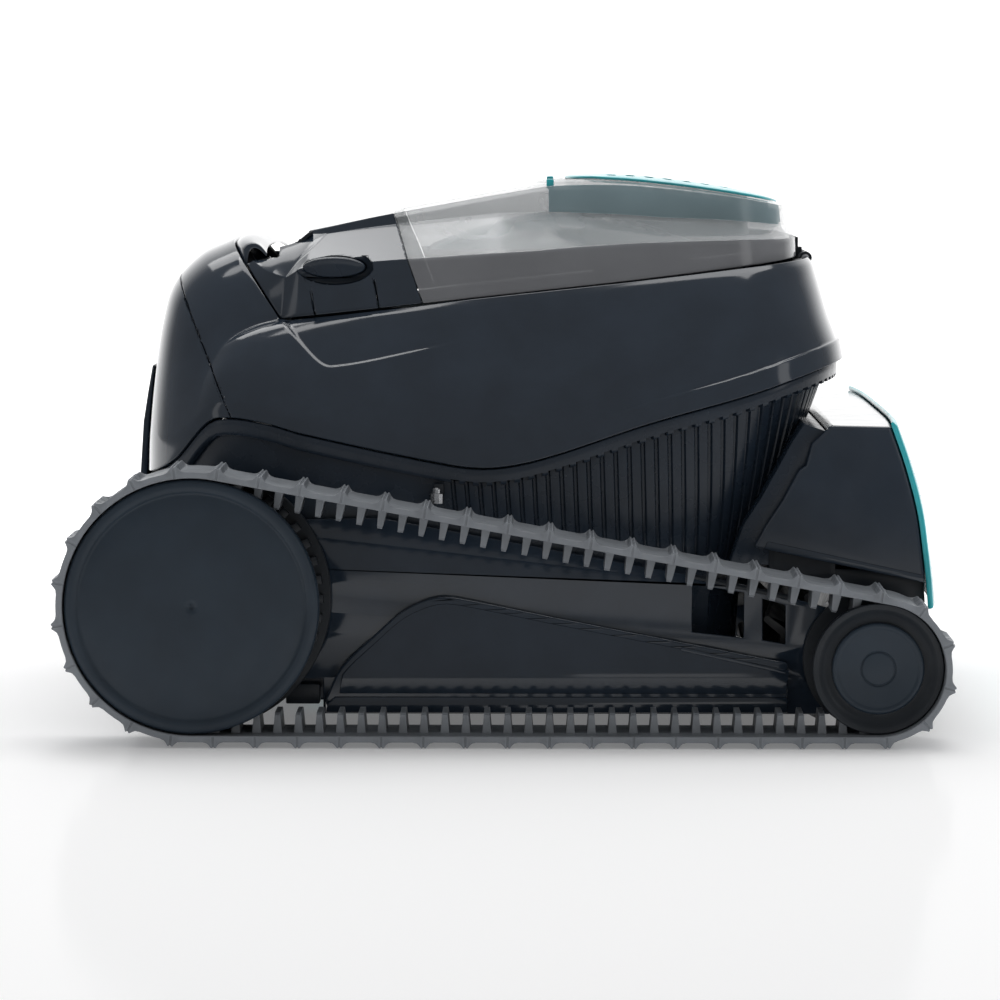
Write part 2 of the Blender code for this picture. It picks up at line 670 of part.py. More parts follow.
def make_lid_hinge():
    """Leaf on the lid, bracket on the housing, and the pin through both."""
    place, across = (HINGE_X, 0, HINGE_Z), (math.pi / 2, 0, 0)
    bore = HINGE_PIN_RADIUS + GAP
    leaf = box("lid_hinge_leaf", (0.1456, -0.028, 0.2305), (0.1470, 0.028, 0.2370), DARK)
    bracket = box("hinge_bracket", (0.1450, -0.0435, 0.2190), (0.1535, 0.0435, 0.2215), DARK)
    for k, centre in enumerate((-0.021, 0.021)):
        web = ((0.1458, centre - 0.006, 0.2275), (0.1490, centre + 0.006, 0.2320))
        join(leaf, hinge_barrel(f"leaf_barrel_{k}", centre, 0.012), box(f"leaf_web_{k}", *web, cutter=True))
    for k, centre in enumerate((-0.036, 0.0, 0.036)):
        web = ((0.1482, centre - 0.007, 0.2205), (0.1518, centre + 0.007, 0.2265))
        join(bracket, hinge_barrel(f"bracket_barrel_{k}", centre, 0.014), box(f"bracket_web_{k}", *web, cutter=True))
    hole = cylinder("hinge_hole", bore, 0.120, place, turn=across, cutter=True, sides=16)
    cut(leaf, hole)
    cut(bracket, hole)
    cylinder("hinge_pin", HINGE_PIN_RADIUS, 0.084, place, STEEL, across, sides=16)


def make_latch(name, side):
    middle = (BUTTON_IN + BUTTON_OUT) / 2
    plate(f"latch_button_{name}", [oval(BUTTON_LENGTH, BUTTON_HEIGHT)], BUTTON_OUT - BUTTON_IN,
          (BUTTON_X, side * middle, BUTTON_Z), DARK)
    turns, points_a_turn, radius, wire = 3, 7, 0.0026, 0.0003
    length = 0.0040 - 2 * GAP - 2 * wire
    curve = bpy.data.curves.new(f"latch_spring_{name}", "CURVE")
    curve.dimensions, curve.bevel_depth, curve.bevel_resolution, curve.use_fill_caps = "3D", wire, 0, True
    spline = curve.splines.new("POLY")
    count = turns * points_a_turn + 1
    spline.points.add(count - 1)
    for i, point in enumerate(spline.points):
        angle = math.tau * i / points_a_turn
        point.co = (radius * math.cos(angle), radius * math.sin(angle), length * i / (count - 1), 1)
    start = side * (BUTTON_IN - 0.0040 + GAP + wire)
    add(curve.name, curve, STEEL, (BUTTON_X, start, BUTTON_Z), outward(side))


# ------------------------------------------------------------------ running gear

def track_path():
    """Functions of distance along the middle of the belt, counter-clockwise from the lower rear."""
    drive_radius, idler_radius = DRIVE_BELT_RADIUS + BELT / 2, IDLER_BELT_RADIUS + BELT / 2
    dx, dz = IDLER_X - DRIVE_X, IDLER_Z - DRIVE_Z
    span = math.hypot(dx, dz)
    run = math.sqrt(span**2 - (drive_radius - idler_radius) ** 2)
    top_angle = math.pi / 2 + math.atan2(dz, dx) - math.asin((drive_radius - idler_radius) / span)
    idler_arc = idler_radius * (top_angle + math.pi / 2)
    drive_arc = drive_radius * (1.5 * math.pi - top_angle)
    total = 2 * run + idler_arc + drive_arc

    def at(distance, offset):
        s = distance % total
        if s < run:
            return DRIVE_X + s, DRIVE_Z - drive_radius - offset
        s -= run
        if s < idler_arc:
            angle = -math.pi / 2 + s / idler_radius
            reach = idler_radius + offset
            return IDLER_X + reach * math.cos(angle), IDLER_Z + reach * math.sin(angle)
        s -= idler_arc
        if s < run:
            nx, nz = math.cos(top_angle), math.sin(top_angle)
            x, z = IDLER_X + idler_radius * nx - s * nz, IDLER_Z + idler_radius * nz + s * nx
            return x + offset * nx, z + offset * nz
        angle = top_angle + (s - run) / drive_radius
        reach = drive_radius + offset
        return DRIVE_X + reach * math.cos(angle), DRIVE_Z + reach * math.sin(angle)

    return at, total


def bumps(count, total, base, tip, low, high, at, start=0.0):
    """A closed outline along the belt with evenly spaced bumps from offset low to offset high."""
    pitch = total / count
    points = []
    for i in range(count):
        middle = (i + start) * pitch
        points.append(at(middle - base / 2, low))
        points += [at(middle - tip / 2, high), at(middle + tip / 2, high)] if tip else [at(middle, high)]
        points.append(at(middle + base / 2, low))
    return points


def thinned(points):
    """Drops the points that lie on straight stretches of a closed outline."""
    kept = []
    for (ax, az), (bx, bz), (cx, cz) in zip(points[-1:] + points[:-1], points, points[1:] + points[:1]):
        if abs((bx - ax) * (cz - bz) - (bz - az) * (cx - bx)) > 1e-9:
            kept.append((bx, bz))
    return kept


def belt_line(at, total, offset):
    return thinned([at(total * i / (2 * LUG_COUNT), offset) for i in range(2 * LUG_COUNT)])


def make_track(name, side):
    at, total = track_path()
    face = BELT / 2
    outside = bumps(LUG_COUNT, total, LUG_BASE, LUG_TIP, face, face + LUG_HEIGHT, at, start=0.5)
    belt = plate(f"track_{name}", [outside, belt_line(at, total, -face)], TRACK_OUT - TRACK_IN,
                 (0, side * (TRACK_IN + TRACK_OUT) / 2, 0), RUBBER)
    teeth = bumps(2 * LUG_COUNT, total, TOOTH_BASE, 0, -face - 0.0004, -face - TOOTH_HEIGHT, at)
    comb = plate(f"teeth_{name}", [belt_line(at, total, -face + 0.0010), teeth], TOOTH_OUT - TOOTH_IN,
                 (0, side * (TOOTH_IN + TOOTH_OUT) / 2, 0))
    return join(belt, comb, solver="MANIFOLD")


def make_drive_wheel(name, side):
    deep = DISC_IN - GAP - WHEEL_IN
    bore = DRIVE_AXLE_RADIUS + BEARING_GAP
    profile = [
        (0.0640, 0.0035), (0.0640, 0), (0.0445, 0), (0.0445, deep - 0.005), (0.0110, deep - 0.005),
        (0.0110, 0.0150), (bore, 0.0150), (bore, deep), (DRUM_RADIUS, deep), (DRUM_RADIUS, 0.0035),
    ]
    turned(f"drive_wheel_{name}", profile, (DRIVE_X, side * WHEEL_IN, DRIVE_Z), DARK, outward(side), steps=28)
    thick = DISC_OUT - DISC_IN
    disc = [
        (0, thick - 0.0012), (0.0525, thick - 0.0012), (0.0535, thick - 0.0020), (0.0550, thick),
        (0.0585, thick), (DISC_RADIUS, thick - 0.0020), (DISC_RADIUS, 0.0010), (0.0590, 0), (0, 0),
    ]
    turned(f"drive_disc_{name}", disc, (DRIVE_X, side * DISC_IN, DRIVE_Z), NAVY, outward(side), steps=32,
           closed=False)
    length = DISC_IN - 0.0010 - AXLE_BASE
    radius = DRIVE_AXLE_RADIUS
    axle = [(0, length), (radius, length), (radius, 0.0030), (0.0100, 0.0030), (0.0100, 0), (0, 0)]
    turned(f"drive_axle_{name}", axle, (DRIVE_X, side * AXLE_BASE, DRIVE_Z), STEEL, outward(side), steps=16,
           closed=False)


def make_idler_wheel(name, side):
    bore = IDLER_AXLE_RADIUS + BEARING_GAP
    rim_in, rim_out = 0.1895 - WHEEL_IN, 0.1935 - WHEEL_IN
    profile = [
        (0.0310, rim_out), (0.0310, rim_in), (0.0195, rim_in), (0.0195, 0.0030), (0.0335, 0.0030),
        (0.0335, 0), (bore, 0), (bore, rim_in + 0.0005), (0.0222, rim_in + 0.0005), (0.0222, rim_in + 0.0012),
        (0.0285, rim_out),
    ]
    turned(f"idler_wheel_{name}", profile, (IDLER_X, side * WHEEL_IN, IDLER_Z), DARK, outward(side), steps=24)
    cap = [(0, 0.0028), (0.0210, 0.0024), (0.0218, 0.0014), (0.0218, 0), (0, 0)]
    turned(f"idler_cap_{name}", cap, (IDLER_X, side * (WHEEL_IN + rim_in + 0.0005 + GAP), IDLER_Z), NAVY,
           outward(side), steps=24, closed=False)
    length, radius = 0.1885 - AXLE_BASE, IDLER_AXLE_RADIUS
    axle = [(0, length), (radius, length), (radius, 0.0030), (0.0080, 0.0030), (0.0080, 0), (0, 0)]
    turned(f"idler_axle_{name}", axle, (IDLER_X, side * AXLE_BASE, IDLER_Z), STEEL, outward(side), steps=16,
           closed=False)


def gear_outline(teeth, radius, tip, root, tip_width, root_width, phase):
    """Trapezoid teeth. Widths are shares of the tooth pitch."""
    points, step = [], math.tau / teeth
    for i in range(teeth):
        middle = phase + i * step
        for reach, half in ((root, -root_width), (tip, -tip_width), (tip, tip_width), (root, root_width)):
            angle = middle + half * step / 2
            points.append(((radius + reach) * math.cos(angle), (radius + reach) * math.sin(angle)))
    return points


def make_gears(name, side):
    thickness, middle = GEAR_OUT - GEAR_IN, (GEAR_IN + GEAR_OUT) / 2
    rim = [(0.0438 * math.cos(math.tau * i / 24), 0.0438 * math.sin(math.tau * i / 24)) for i in range(24)]
    inner = gear_outline(RING_TEETH, RING_RADIUS, -0.6 * MODULE, 0.9 * MODULE, 0.26, 0.50, math.pi / RING_TEETH)
    plate(f"ring_gear_{name}", [rim, inner], thickness, (DRIVE_X, side * middle, DRIVE_Z), STEEL)
    outer = gear_outline(PINION_TEETH, PINION_RADIUS, 0.6 * MODULE, -0.9 * MODULE, 0.22, 0.52, 0.0)
    pinion = plate(f"drive_pinion_{name}", [outer], thickness - 0.0006, (PINION_X, side * middle, DRIVE_Z), STEEL)
    shaft_in = 0.1250
    shaft = cylinder(f"pinion_shaft_{name}", 0.0030, GEAR_IN + 0.004 - shaft_in,
                     (PINION_X, side * (shaft_in + GEAR_IN + 0.004) / 2, DRIVE_Z), turn=outward(side), cutter=True,
                     sides=16)
    join(pinion, shaft)
    motor = [(0, 0.062), (0.0120, 0.062), (0.0120, 0.058), (0.0170, 0.056), (0.0170, 0.002), (0.0150, 0), (0, 0)]
    turned(f"drive_motor_{name}", motor, (PINION_X, side * 0.0625, DRIVE_Z), DARK, outward(side), steps=16,
           closed=False)


# ------------------------------------------------------------------ brush, pump and filter

def make_brush():
    across = (math.pi / 2, 0, 0)
    half_core, half_sleeve = 0.1380, 0.1340
    core = [(0.0120, half_core), (0.0120, -half_core), (0.0044, -half_core), (0.0044, half_core)]
    turned("brush_core", core, (BRUSH_X, 0, BRUSH_Z), DARK, across, steps=16)
    blades = gear_outline(8, 0.0180, BRUSH_RADIUS - 0.0180, 0, 0.16, 0.40, 0.0)
    hole = [(0.0124 * math.cos(math.tau * i / 20), 0.0124 * math.sin(math.tau * i / 20)) for i in range(20)]
    plate("brush_sleeve", [blades, hole], 2 * half_sleeve, (BRUSH_X, 0, BRUSH_Z), RUBBER)
    for name, side in SIDES.items():
        bush = [(0, 0.0200), (0.0038, 0.0200), (0.0038, 0.0060), (0.0100, 0.0060), (0.0100, 0), (0, 0)]
        turned(f"brush_bush_{name}", bush, (BRUSH_X, side * (PANEL_IN - GAP), BRUSH_Z), STEEL, outward(-side),
               steps=16, closed=False)


def make_motor_unit():
    """The sealed box in the middle of the chassis, with the pump's column rising from it."""
    low, high = (-0.040, -0.062, 0.0240), (0.1070, 0.062, 0.0740)
    case = box("motor_unit_case", low, high, DARK, bevel=0.004)
    column = cylinder("column", COLUMN_RADIUS, COLUMN_TOP - 0.070, (IMPELLER_X, 0, (COLUMN_TOP + 0.070) / 2),
                      cutter=True)
    join(case, column)
    inside_low = (low[0] + WALL, low[1] + WALL, 0.0)
    inside_high = (high[0] - WALL, high[1] - WALL, high[2] - WALL)
    hollow = box("unit_hollow", inside_low, inside_high, cutter=True)
    column_hollow = cylinder("column_hollow", COLUMN_RADIUS - WALL, 0.140, (IMPELLER_X, 0, COLUMN_TOP - WALL - 0.070),
                             cutter=True)
    shaft_hole = cylinder("pump_shaft_hole", 0.0030, 0.030, (IMPELLER_X, 0, COLUMN_TOP), cutter=True, sides=16)
    cut(case, hollow, column_hollow, shaft_hole)
    box("motor_unit_cover", (low[0], low[1], 0.0194), (high[0] - 0.006, high[1], low[2] - GAP), DARK)
    box("battery_pack", (-0.034, -0.055, 0.0250), (0.0500, 0.055, 0.0660), GREEN, bevel=0.002)
    motor = [
        (0, 0.1950), (0.0060, 0.1950), (0.0060, 0.1930), (0.0170, 0.1910), (0.0170, 0.1250), (0.0150, 0.1220),
        (0, 0.1220),
    ]
    turned("pump_motor", motor, (IMPELLER_X, 0, 0), STEEL, steps=16, closed=False)


def make_impeller():
    hub = [
        (0, 0.2240), (0.0070, 0.2225), (0.0110, 0.2160), (0.0115, 0.2035), (0.0024, 0.2035), (0.0024, 0.1960),
        (0, 0.1960),
    ]
    impeller = turned("impeller", hub, (IMPELLER_X, 0, 0), TURQUOISE, steps=16, closed=False)
    blades = 5
    for i in range(blades):
        angle = math.tau * i / blades
        middle = 0.0210
        blade = box(f"blade_{i}", (-0.0125, -0.0011, -0.0075), (0.0120, 0.0011, 0.0075), cutter=True,
                    turn=(math.radians(48), 0, angle))
        blade.location = (IMPELLER_X + middle * math.cos(angle), middle * math.sin(angle), 0.2125)
        join(impeller, blade)
    duct = [(0.0385, 0.2240), (0.0385, 0.1900), (DUCT_RADIUS, 0.1900), (DUCT_RADIUS, 0.2240)]
    tube = turned("impeller_duct", duct, (IMPELLER_X, 0, 0), DARK, steps=24)
    collar = [(0.0255, 0.1980), (0.0255, 0.1880), (COLUMN_RADIUS + GAP, 0.1880), (COLUMN_RADIUS + GAP, 0.1980)]
    ring = turned("duct_collar", collar, (IMPELLER_X, 0, 0), DARK, steps=24)
    join(tube, ring)
    for i in range(4):
        angle = math.tau * (i + 0.5) / 4
        vane = box(f"vane_{i}", (-0.0070, -0.0010, -0.0035), (0.0055, 0.0010, 0.0035), cutter=True,
                   turn=(0, 0, angle))
        vane.location = (IMPELLER_X + 0.0317 * math.cos(angle), 0.0317 * math.sin(angle), 0.1940)
        join(tube, vane)


def shrunk(low, high, inset):
    """The corners of a box moved in by an inset."""
    return tuple(a + inset for a in low), tuple(b - inset for b in high)


def make_filter():
    """The lift-out basket: an open frame with a fine screen inside it."""
    low, high = (-0.0960, -0.0920, 0.0840), (0.0400, 0.0920, 0.2040)
    rail, above = 0.006, 0.300
    basket = box("filter_basket", low, high, DARK)
    inner_low, inner_high = shrunk(low, high, WALL)
    inner = box("basket_inside", inner_low, (*inner_high[:2], above), cutter=True)
    window_low, window_high = low[2] + 2 * rail, high[2] - 2 * rail
    ends = box("end_windows", (-0.200, low[1] + 4 * rail, window_low), (0.060, high[1] - 4 * rail, window_high),
               cutter=True)
    sides = box("side_windows", (low[0] + 3 * rail, -0.200, window_low), (high[0] - 3 * rail, 0.200, window_high),
                cutter=True)
    mouth = box("basket_mouth", (-0.090, -0.070, 0.070), (-0.052, 0.070, 0.100), cutter=True)
    cut(basket, inner, ends, sides, mouth)
    skin, edge = 0.0012, WALL + GAP
    screen_low, screen_high = shrunk(low, high, edge)
    screen = box("filter_screen", screen_low, (*screen_high[:2], 0.2000), MESH)
    hollow_low, hollow_high = shrunk(low, high, edge + skin)
    hollow = box("screen_inside", hollow_low, (*hollow_high[:2], above), cutter=True)
    cut(screen, hollow, mouth)


def make_flap(name, side):
    """Closes a suction inlet when the pump stops. Hinged at its front edge."""
    inner, outer = sorted((side * FLAP_IN, side * FLAP_OUT))
    leaf = ((FLAP_X - FLAP_LENGTH, inner, FLAP_Z - 0.0050), (FLAP_X - 0.0010, outer, FLAP_Z - 0.0032))
    flap = box(f"inlet_flap_{name}", *leaf, TURQUOISE)
    middle = (FLAP_AXIS[0], (inner + outer) / 2, FLAP_AXIS[1])
    barrel = cylinder(f"flap_barrel_{name}", 0.0016, FLAP_OUT - FLAP_IN, middle, turn=(math.pi / 2, 0, 0),
                      cutter=True, sides=12)
    return join(flap, barrel)


def make_shell_screw(name, side):
    """Holds the upper housing down through the band."""
    screw = [
        (0, 0.0075), (0.0016, 0.0075), (0.0022, 0.0068), (0.0022, 0.0050), (0.0034, 0.0046), (0.0034, 0), (0, 0),
    ]
    turned(f"shell_screw_{name}", screw, (-0.0330, side * 0.1485, 0.1120), STEEL, steps=10, closed=False)


# ------------------------------------------------------------------ assembly

def hang_on_axis(name, place, *names):
    """Gives the pieces that turn together a parent on their joint's axis."""
    axis = bpy.data.objects.new(name, None)
    axis.location, axis.empty_display_size = place, 0.02
    PARTS.objects.link(axis)
    for piece in (bpy.data.objects[n] for n in names):
        piece.parent = axis
        piece.matrix_parent_inverse = Matrix.Translation(place).inverted()


def hang_moving_pieces():
    hang_on_axis("lid_axis", (HINGE_X, 0, HINGE_Z), "lid_frame", "lid_window", "outlet_grille", "outlet_throat",
                 "lid_hinge_leaf", "latch_spring_left", "latch_spring_right")
    for name in SIDES:
        hang_on_axis(f"flap_axis_{name}", (FLAP_AXIS[0], 0, FLAP_AXIS[1]), f"inlet_flap_{name}")
        hang_on_axis(f"wheel_axis_{name}", (DRIVE_X, 0, DRIVE_Z), f"drive_wheel_{name}", f"drive_disc_{name}",
                     f"ring_gear_{name}")
        hang_on_axis(f"pinion_axis_{name}", (PINION_X, 0, DRIVE_Z), f"drive_pinion_{name}")


def make_all():
    make_chassis_base()
    make_body_wall()
    make_shell_band()
    make_upper_housing()
    make_rear_cover()
    make_rear_panel()
    make_carry_handle()
    make_front_bumper()
    make_bumper_beam()
    make_bumper_trim()
    make_bottom_plate()
    make_lid_frame()
    make_lid_window()
    make_outlet_grille()
    make_outlet_throat()
    make_lid_hinge()
    make_brush()
    make_motor_unit()
    make_impeller()
    make_filter()
    for name, side in SIDES.items():
        make_side_panel(name, side)
        make_track(name, side)
        make_drive_wheel(name, side)
        make_idler_wheel(name, side)
        make_gears(name, side)
        make_latch(name, side)
        make_flap(name, side)
        make_shell_screw(name, side)


clear_scene()
PARTS, CUTTERS = make_collection("pool_cleaner"), make_collection("cutters")
CUTTERS.hide_render = True
GLOSS = material("gloss_shell", (0.017, 0.024, 0.036), 0.12)
NAVY = material("navy_plastic", (0.013, 0.018, 0.028), 0.25)
DARK = material("dark_plastic", (0.012, 0.014, 0.018), 0.45)
RUBBER = material("grey_rubber", (0.130, 0.135, 0.145), 0.60)
TURQUOISE = material("turquoise_plastic", (0.030, 0.420, 0.470), 0.25)
TEAL_CLEAR = material("clear_teal", (0.120, 0.300, 0.320), 0.15, alpha=0.6)
SMOKE = material("smoky_clear", (0.220, 0.230, 0.240), 0.05, alpha=0.35)
STEEL = material("steel", (0.550, 0.560, 0.580), 0.30, metallic=1.0)
MESH = material("fine_mesh", (0.300, 0.320, 0.330), 0.70)
GREEN = material("battery_wrap", (0.030, 0.120, 0.080), 0.50)
make_all()
hang_moving_pieces()
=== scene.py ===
"""The looks of a tracked pool robot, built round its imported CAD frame.

Metres, +X forward, +Y the robot's left, +Z up. The places come from the frame's nodes and joints, and the
shells repeat the design sections of the CAD in finer steps.
"""

import json
import math

import bmesh
import bpy
import numpy as np
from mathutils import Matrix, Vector


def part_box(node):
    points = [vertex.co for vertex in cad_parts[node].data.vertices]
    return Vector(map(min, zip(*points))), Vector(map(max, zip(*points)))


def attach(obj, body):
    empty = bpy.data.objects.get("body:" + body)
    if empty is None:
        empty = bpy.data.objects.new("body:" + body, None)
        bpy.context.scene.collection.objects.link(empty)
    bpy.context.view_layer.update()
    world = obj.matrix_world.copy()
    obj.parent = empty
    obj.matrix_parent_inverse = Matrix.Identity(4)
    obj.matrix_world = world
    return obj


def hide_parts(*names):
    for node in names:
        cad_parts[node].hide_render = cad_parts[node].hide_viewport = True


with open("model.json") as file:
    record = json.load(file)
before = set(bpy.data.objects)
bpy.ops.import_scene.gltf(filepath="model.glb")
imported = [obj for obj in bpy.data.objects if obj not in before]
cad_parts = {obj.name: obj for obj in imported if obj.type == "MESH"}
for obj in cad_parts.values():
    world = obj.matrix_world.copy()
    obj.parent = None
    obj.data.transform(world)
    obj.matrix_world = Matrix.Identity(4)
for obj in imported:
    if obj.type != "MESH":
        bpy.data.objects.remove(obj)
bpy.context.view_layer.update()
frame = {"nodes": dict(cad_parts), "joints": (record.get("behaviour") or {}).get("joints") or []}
JOINTS = {joint["name"]: joint for joint in frame["joints"]}
SIDES = {"left": 1, "right": -1}

# ---------- driving dimensions

GAP = 0.0004                 # between two pieces of the shell
WALL = 0.0028
DENSE = np.linspace(0.265, 0.395, 150)            # round a shell, where the crease under the latch runs
RING_SHARES = np.concatenate([
    np.linspace(0, 0.265, 75, endpoint=False), DENSE, np.linspace(0.398, 0.602, 60), 1 - DENSE[::-1],
    np.linspace(0.735, 1.0, 75, endpoint=False) + 0.265 / 75,
])[:-1]
PLAN_POWER = 5.0             # of the rounded-rectangle plan

DRIVE_X, _, DRIVE_Z = JOINTS["wheel_left_spin"]["pos_m"]
IDLER_X, _, IDLER_Z = JOINTS["idler_left_spin"]["pos_m"]
BRUSH_X, _, BRUSH_Z = JOINTS["brush_spin"]["pos_m"]
PUMP_X = JOINTS["impeller_spin"]["pos_m"][0]
PINION = JOINTS["pinion_left_spin"]["pos_m"][::2]
TRACK_IN, TRACK_OUT = (corner.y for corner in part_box("track_left"))
BELT, LUG_HEIGHT, LUG_COUNT = 0.003, 0.003, 48
TOOTH_HEIGHT = 0.0095
DRIVE_RADIUS = DRIVE_Z - BELT / 2 - LUG_HEIGHT          # to the middle of the belt
IDLER_RADIUS = IDLER_Z - BELT / 2 - LUG_HEIGHT

# Lines in the side view, (x, z), rear to front
SPLIT_LINE = [
    (-0.19, 0.117), (-0.163, 0.1305), (-0.145, 0.15), (-0.1335, 0.1526), (-0.114, 0.1497),
    (-0.099, 0.1454), (-0.027, 0.1305), (-0.006, 0.1289), (0.0187, 0.1334), (0.07, 0.1502),
    (0.12, 0.1641), (0.159, 0.1766), (0.172, 0.179),
]
SEAM_LINE = [(-0.1375, 0.2369), (-0.1108, 0.1986), (-0.041, 0.2064), (0.0553, 0.2167), (0.151, 0.228)]
CROWN_LINE = [
    (-0.137, 0.235), (-0.12, 0.235), (-0.1015, 0.2392), (-0.065, 0.2475), (-0.02, 0.2563),
    (0.0067, 0.2615), (0.0206, 0.264), (0.045, 0.265), (0.067, 0.2643), (0.106, 0.2595), (0.146, 0.252),
]
SHOULDER_CREASE = [
    (-0.111, 0.201), (-0.0918, 0.1805), (-0.084, 0.177), (-0.0416, 0.1847), (-0.01, 0.1915),
]
LID_SPLIT = ((-0.056, 0.25), (-0.04, 0.205))
REAR_SPLIT = ((-0.158, 0.208), (-0.133, 0.154))

# Lid: (share of the way up: 0 seam, 0.4 crease, 0.8 shoulder, 1 crown; rear x, front x, half width)
LID_CREASE, LID_SHOULDER = 0.4, 0.8
LID_SECTIONS = [
    (0.0, -0.136, 0.145, 0.1155), (LID_CREASE, -0.1345, 0.1446, 0.1118),
    (LID_SHOULDER, -0.125, 0.1408, 0.079), (0.97, -0.1242, 0.14, 0.077),
    (1.0, -0.09, 0.128, 0.05), (1.003, -0.05, 0.08, 0.008),
]
# How far up the lid its crease and its shoulder run, rear to front: (x, share of the rise from seam to crown)
CREASE_RISE = [
    (-0.13, 0.15), (-0.115, 0.42), (-0.102, 0.56), (-0.065, 0.51), (-0.033, 0.45), (0.016, 0.37),
    (0.146, 0.36),
]
SHOULDER_RISE = [
    (-0.13, 0.6), (-0.111, 0.85), (-0.098, 0.93), (-0.059, 0.87), (-0.005, 0.79), (0.019, 0.71),
    (0.076, 0.61), (0.12, 0.59), (0.146, 0.57),
]
LID_GAP, LID_THICK = 0.0016, 0.0025
# Upper housing: (share of the way from the split line to the lid seam, rear x, front x, half width)
HOUSING_SECTIONS = [
    (0.0, -0.1797, 0.1668, 0.149), (0.17, -0.179, 0.165, 0.1475), (0.45, -0.176, 0.16, 0.141),
    (0.68, -0.172, 0.1568, 0.1325), (0.82, -0.1665, 0.1548, 0.1265), (0.94, -0.153, 0.153, 0.1205),
    (1.0, -0.1375, 0.151, 0.1168),
]
BAND_HEIGHT = 0.0085
BAND_PLAN = (-0.1785, 0.165, 0.1485)
COVER_LINE = [(-0.19, 0.0985), (-0.142, 0.1), (-0.105, 0.118), (0.118, 0.0789), (0.16, 0.0712)]
FLUTE_PITCH = 0.0068


# ---------- curves and rings

def line_through(points):
    """A smooth curve through (x, value) points, level beyond both ends. It takes arrays."""
    xs, ys = (np.array(column) for column in zip(*points))
    slopes = np.empty(len(xs))
    slopes[1:-1] = (ys[2:] - ys[:-2]) / (xs[2:] - xs[:-2])
    slopes[0], slopes[-1] = (ys[1] - ys[0]) / (xs[1] - xs[0]), (ys[-1] - ys[-2]) / (xs[-1] - xs[-2])

    def at(x):
        x = np.clip(x, xs[0], xs[-1])
        k = np.clip(np.searchsorted(xs, x) - 1, 0, len(xs) - 2)
        span = xs[k + 1] - xs[k]
        t = (x - xs[k]) / span
        a, b, c = 2 * t**3 - 3 * t**2 + 1, t**3 - 2 * t**2 + t, t**3 - t**2
        return a * ys[k] + b * span * slopes[k] + (1 - a) * ys[k + 1] + c * span * slopes[k + 1]

    return at


def polyline(points):
    xs, ys = zip(*points)
    return lambda x: np.interp(x, xs, ys)


def smoothstep(low, high, x):
    t = np.clip((x - low) / (high - low), 0, 1)
    return t * t * (3 - 2 * t)


split_z, crown_z, seam_z = line_through(SPLIT_LINE), line_through(CROWN_LINE), polyline(SEAM_LINE)
shoulder_z = line_through(SHOULDER_CREASE)


def reach_along(points):
    """How far along a run of points each of them is."""
    return np.concatenate([[0], np.cumsum(np.hypot(*np.diff(points, axis=0).T))])


def inset_by(section, inset):
    """A (rear, front, half width) section, smaller by that much all round."""
    rear, front, half = section
    return rear + inset, front - inset, half - inset


def span(side, near, far):
    """(low, high) across the machine, for two distances outwards on one side."""
    return sorted((side * near, side * far))


def point_round(centre, radius, angle):
    return centre[0] + radius * math.cos(angle), centre[1] + radius * math.sin(angle)


def plan_ring(rear, front, half, shares=RING_SHARES, power=PLAN_POWER):
    """Points of a rounded rectangle, at shares of the way round it from its front middle."""
    steps = 12000
    angle = np.linspace(0, math.tau, steps + 1)
    c, s = np.cos(angle), np.sin(angle)
    x = (rear + front) / 2 + (front - rear) / 2 * np.sign(c) * np.abs(c) ** (2 / power)
    y = half * np.sign(s) * np.abs(s) ** (2 / power)
    length = reach_along(np.column_stack([x, y]))
    wanted = length[-1] * (shares % 1.0)
    return np.column_stack([np.interp(wanted, length, x), np.interp(wanted, length, y)])


def normals_of(rows):
    """Outward unit normals of a (rows, points, 3) sheet, whose rings run counter-clockwise going up."""
    along = np.roll(rows, -1, axis=1) - np.roll(rows, 1, axis=1)
    up = np.gradient(rows, axis=0)
    normal = np.cross(along, up)
    return normal / np.maximum(np.linalg.norm(normal, axis=2, keepdims=True), 1e-12)


# ---------- meshes

def added(name, data):
    """A new object in the scene."""
    obj = bpy.data.objects.new(name, data)
    bpy.context.scene.collection.objects.link(obj)
    return obj


def mesh_from(name, bm):
    mesh = bpy.data.meshes.new(name)
    bm.to_mesh(mesh)
    bm.free()
    return mesh


def evaluated_mesh(obj):
    """A new mesh of the object as its modifiers leave it."""
    bpy.context.view_layer.update()
    return bpy.data.meshes.new_from_object(obj.evaluated_get(bpy.context.evaluated_depsgraph_get()))


def shade(mesh, smooth_angle):
    """Shades smooth, with sharp edges above an angle in degrees."""
    mesh.shade_smooth()
    mesh.set_sharp_from_angle(angle=math.radians(smooth_angle))


def piece(name, mesh, finish, smooth_angle=40):
    """An object in the scene with outward normals, shaded smooth up to an angle."""
    bm = bmesh.new()
    bm.from_mesh(mesh)
    bmesh.ops.recalc_face_normals(bm, faces=bm.faces)
    bm.to_mesh(mesh)
    bm.free()
    shade(mesh, smooth_angle)
    if finish:
        mesh.materials.append(finish)
    return added(name, mesh)


def grid_faces(rows, count, wrap_rows):
    """Quads of a sheet of rows of points whose rings close. With wrap_rows the last row joins the first."""
    last = rows if wrap_rows else rows - 1
    i, j = np.meshgrid(np.arange(last), np.arange(count), indexing="ij")
    a, b = i * count + j, i * count + (j + 1) % count
    c, d = ((i + 1) % rows) * count + (j + 1) % count, ((i + 1) % rows) * count + j
    return np.stack([a, b, c, d], axis=-1).reshape(-1, 4).tolist()


def body_from(name, rows, finish, smooth_angle, capped_ends):
    rows = np.asarray(rows)
    count = rows.shape[1]
    faces = grid_faces(len(rows), count, not capped_ends)
    if capped_ends:
        faces += [list(range(count)), list(range((len(rows) - 1) * count, len(rows) * count))]
    mesh = bpy.data.meshes.new(name)
    mesh.from_pydata([tuple(p) for p in rows.reshape(-1, 3)], [], faces)
    mesh.validate()
    return piece(name, mesh, finish, smooth_angle)


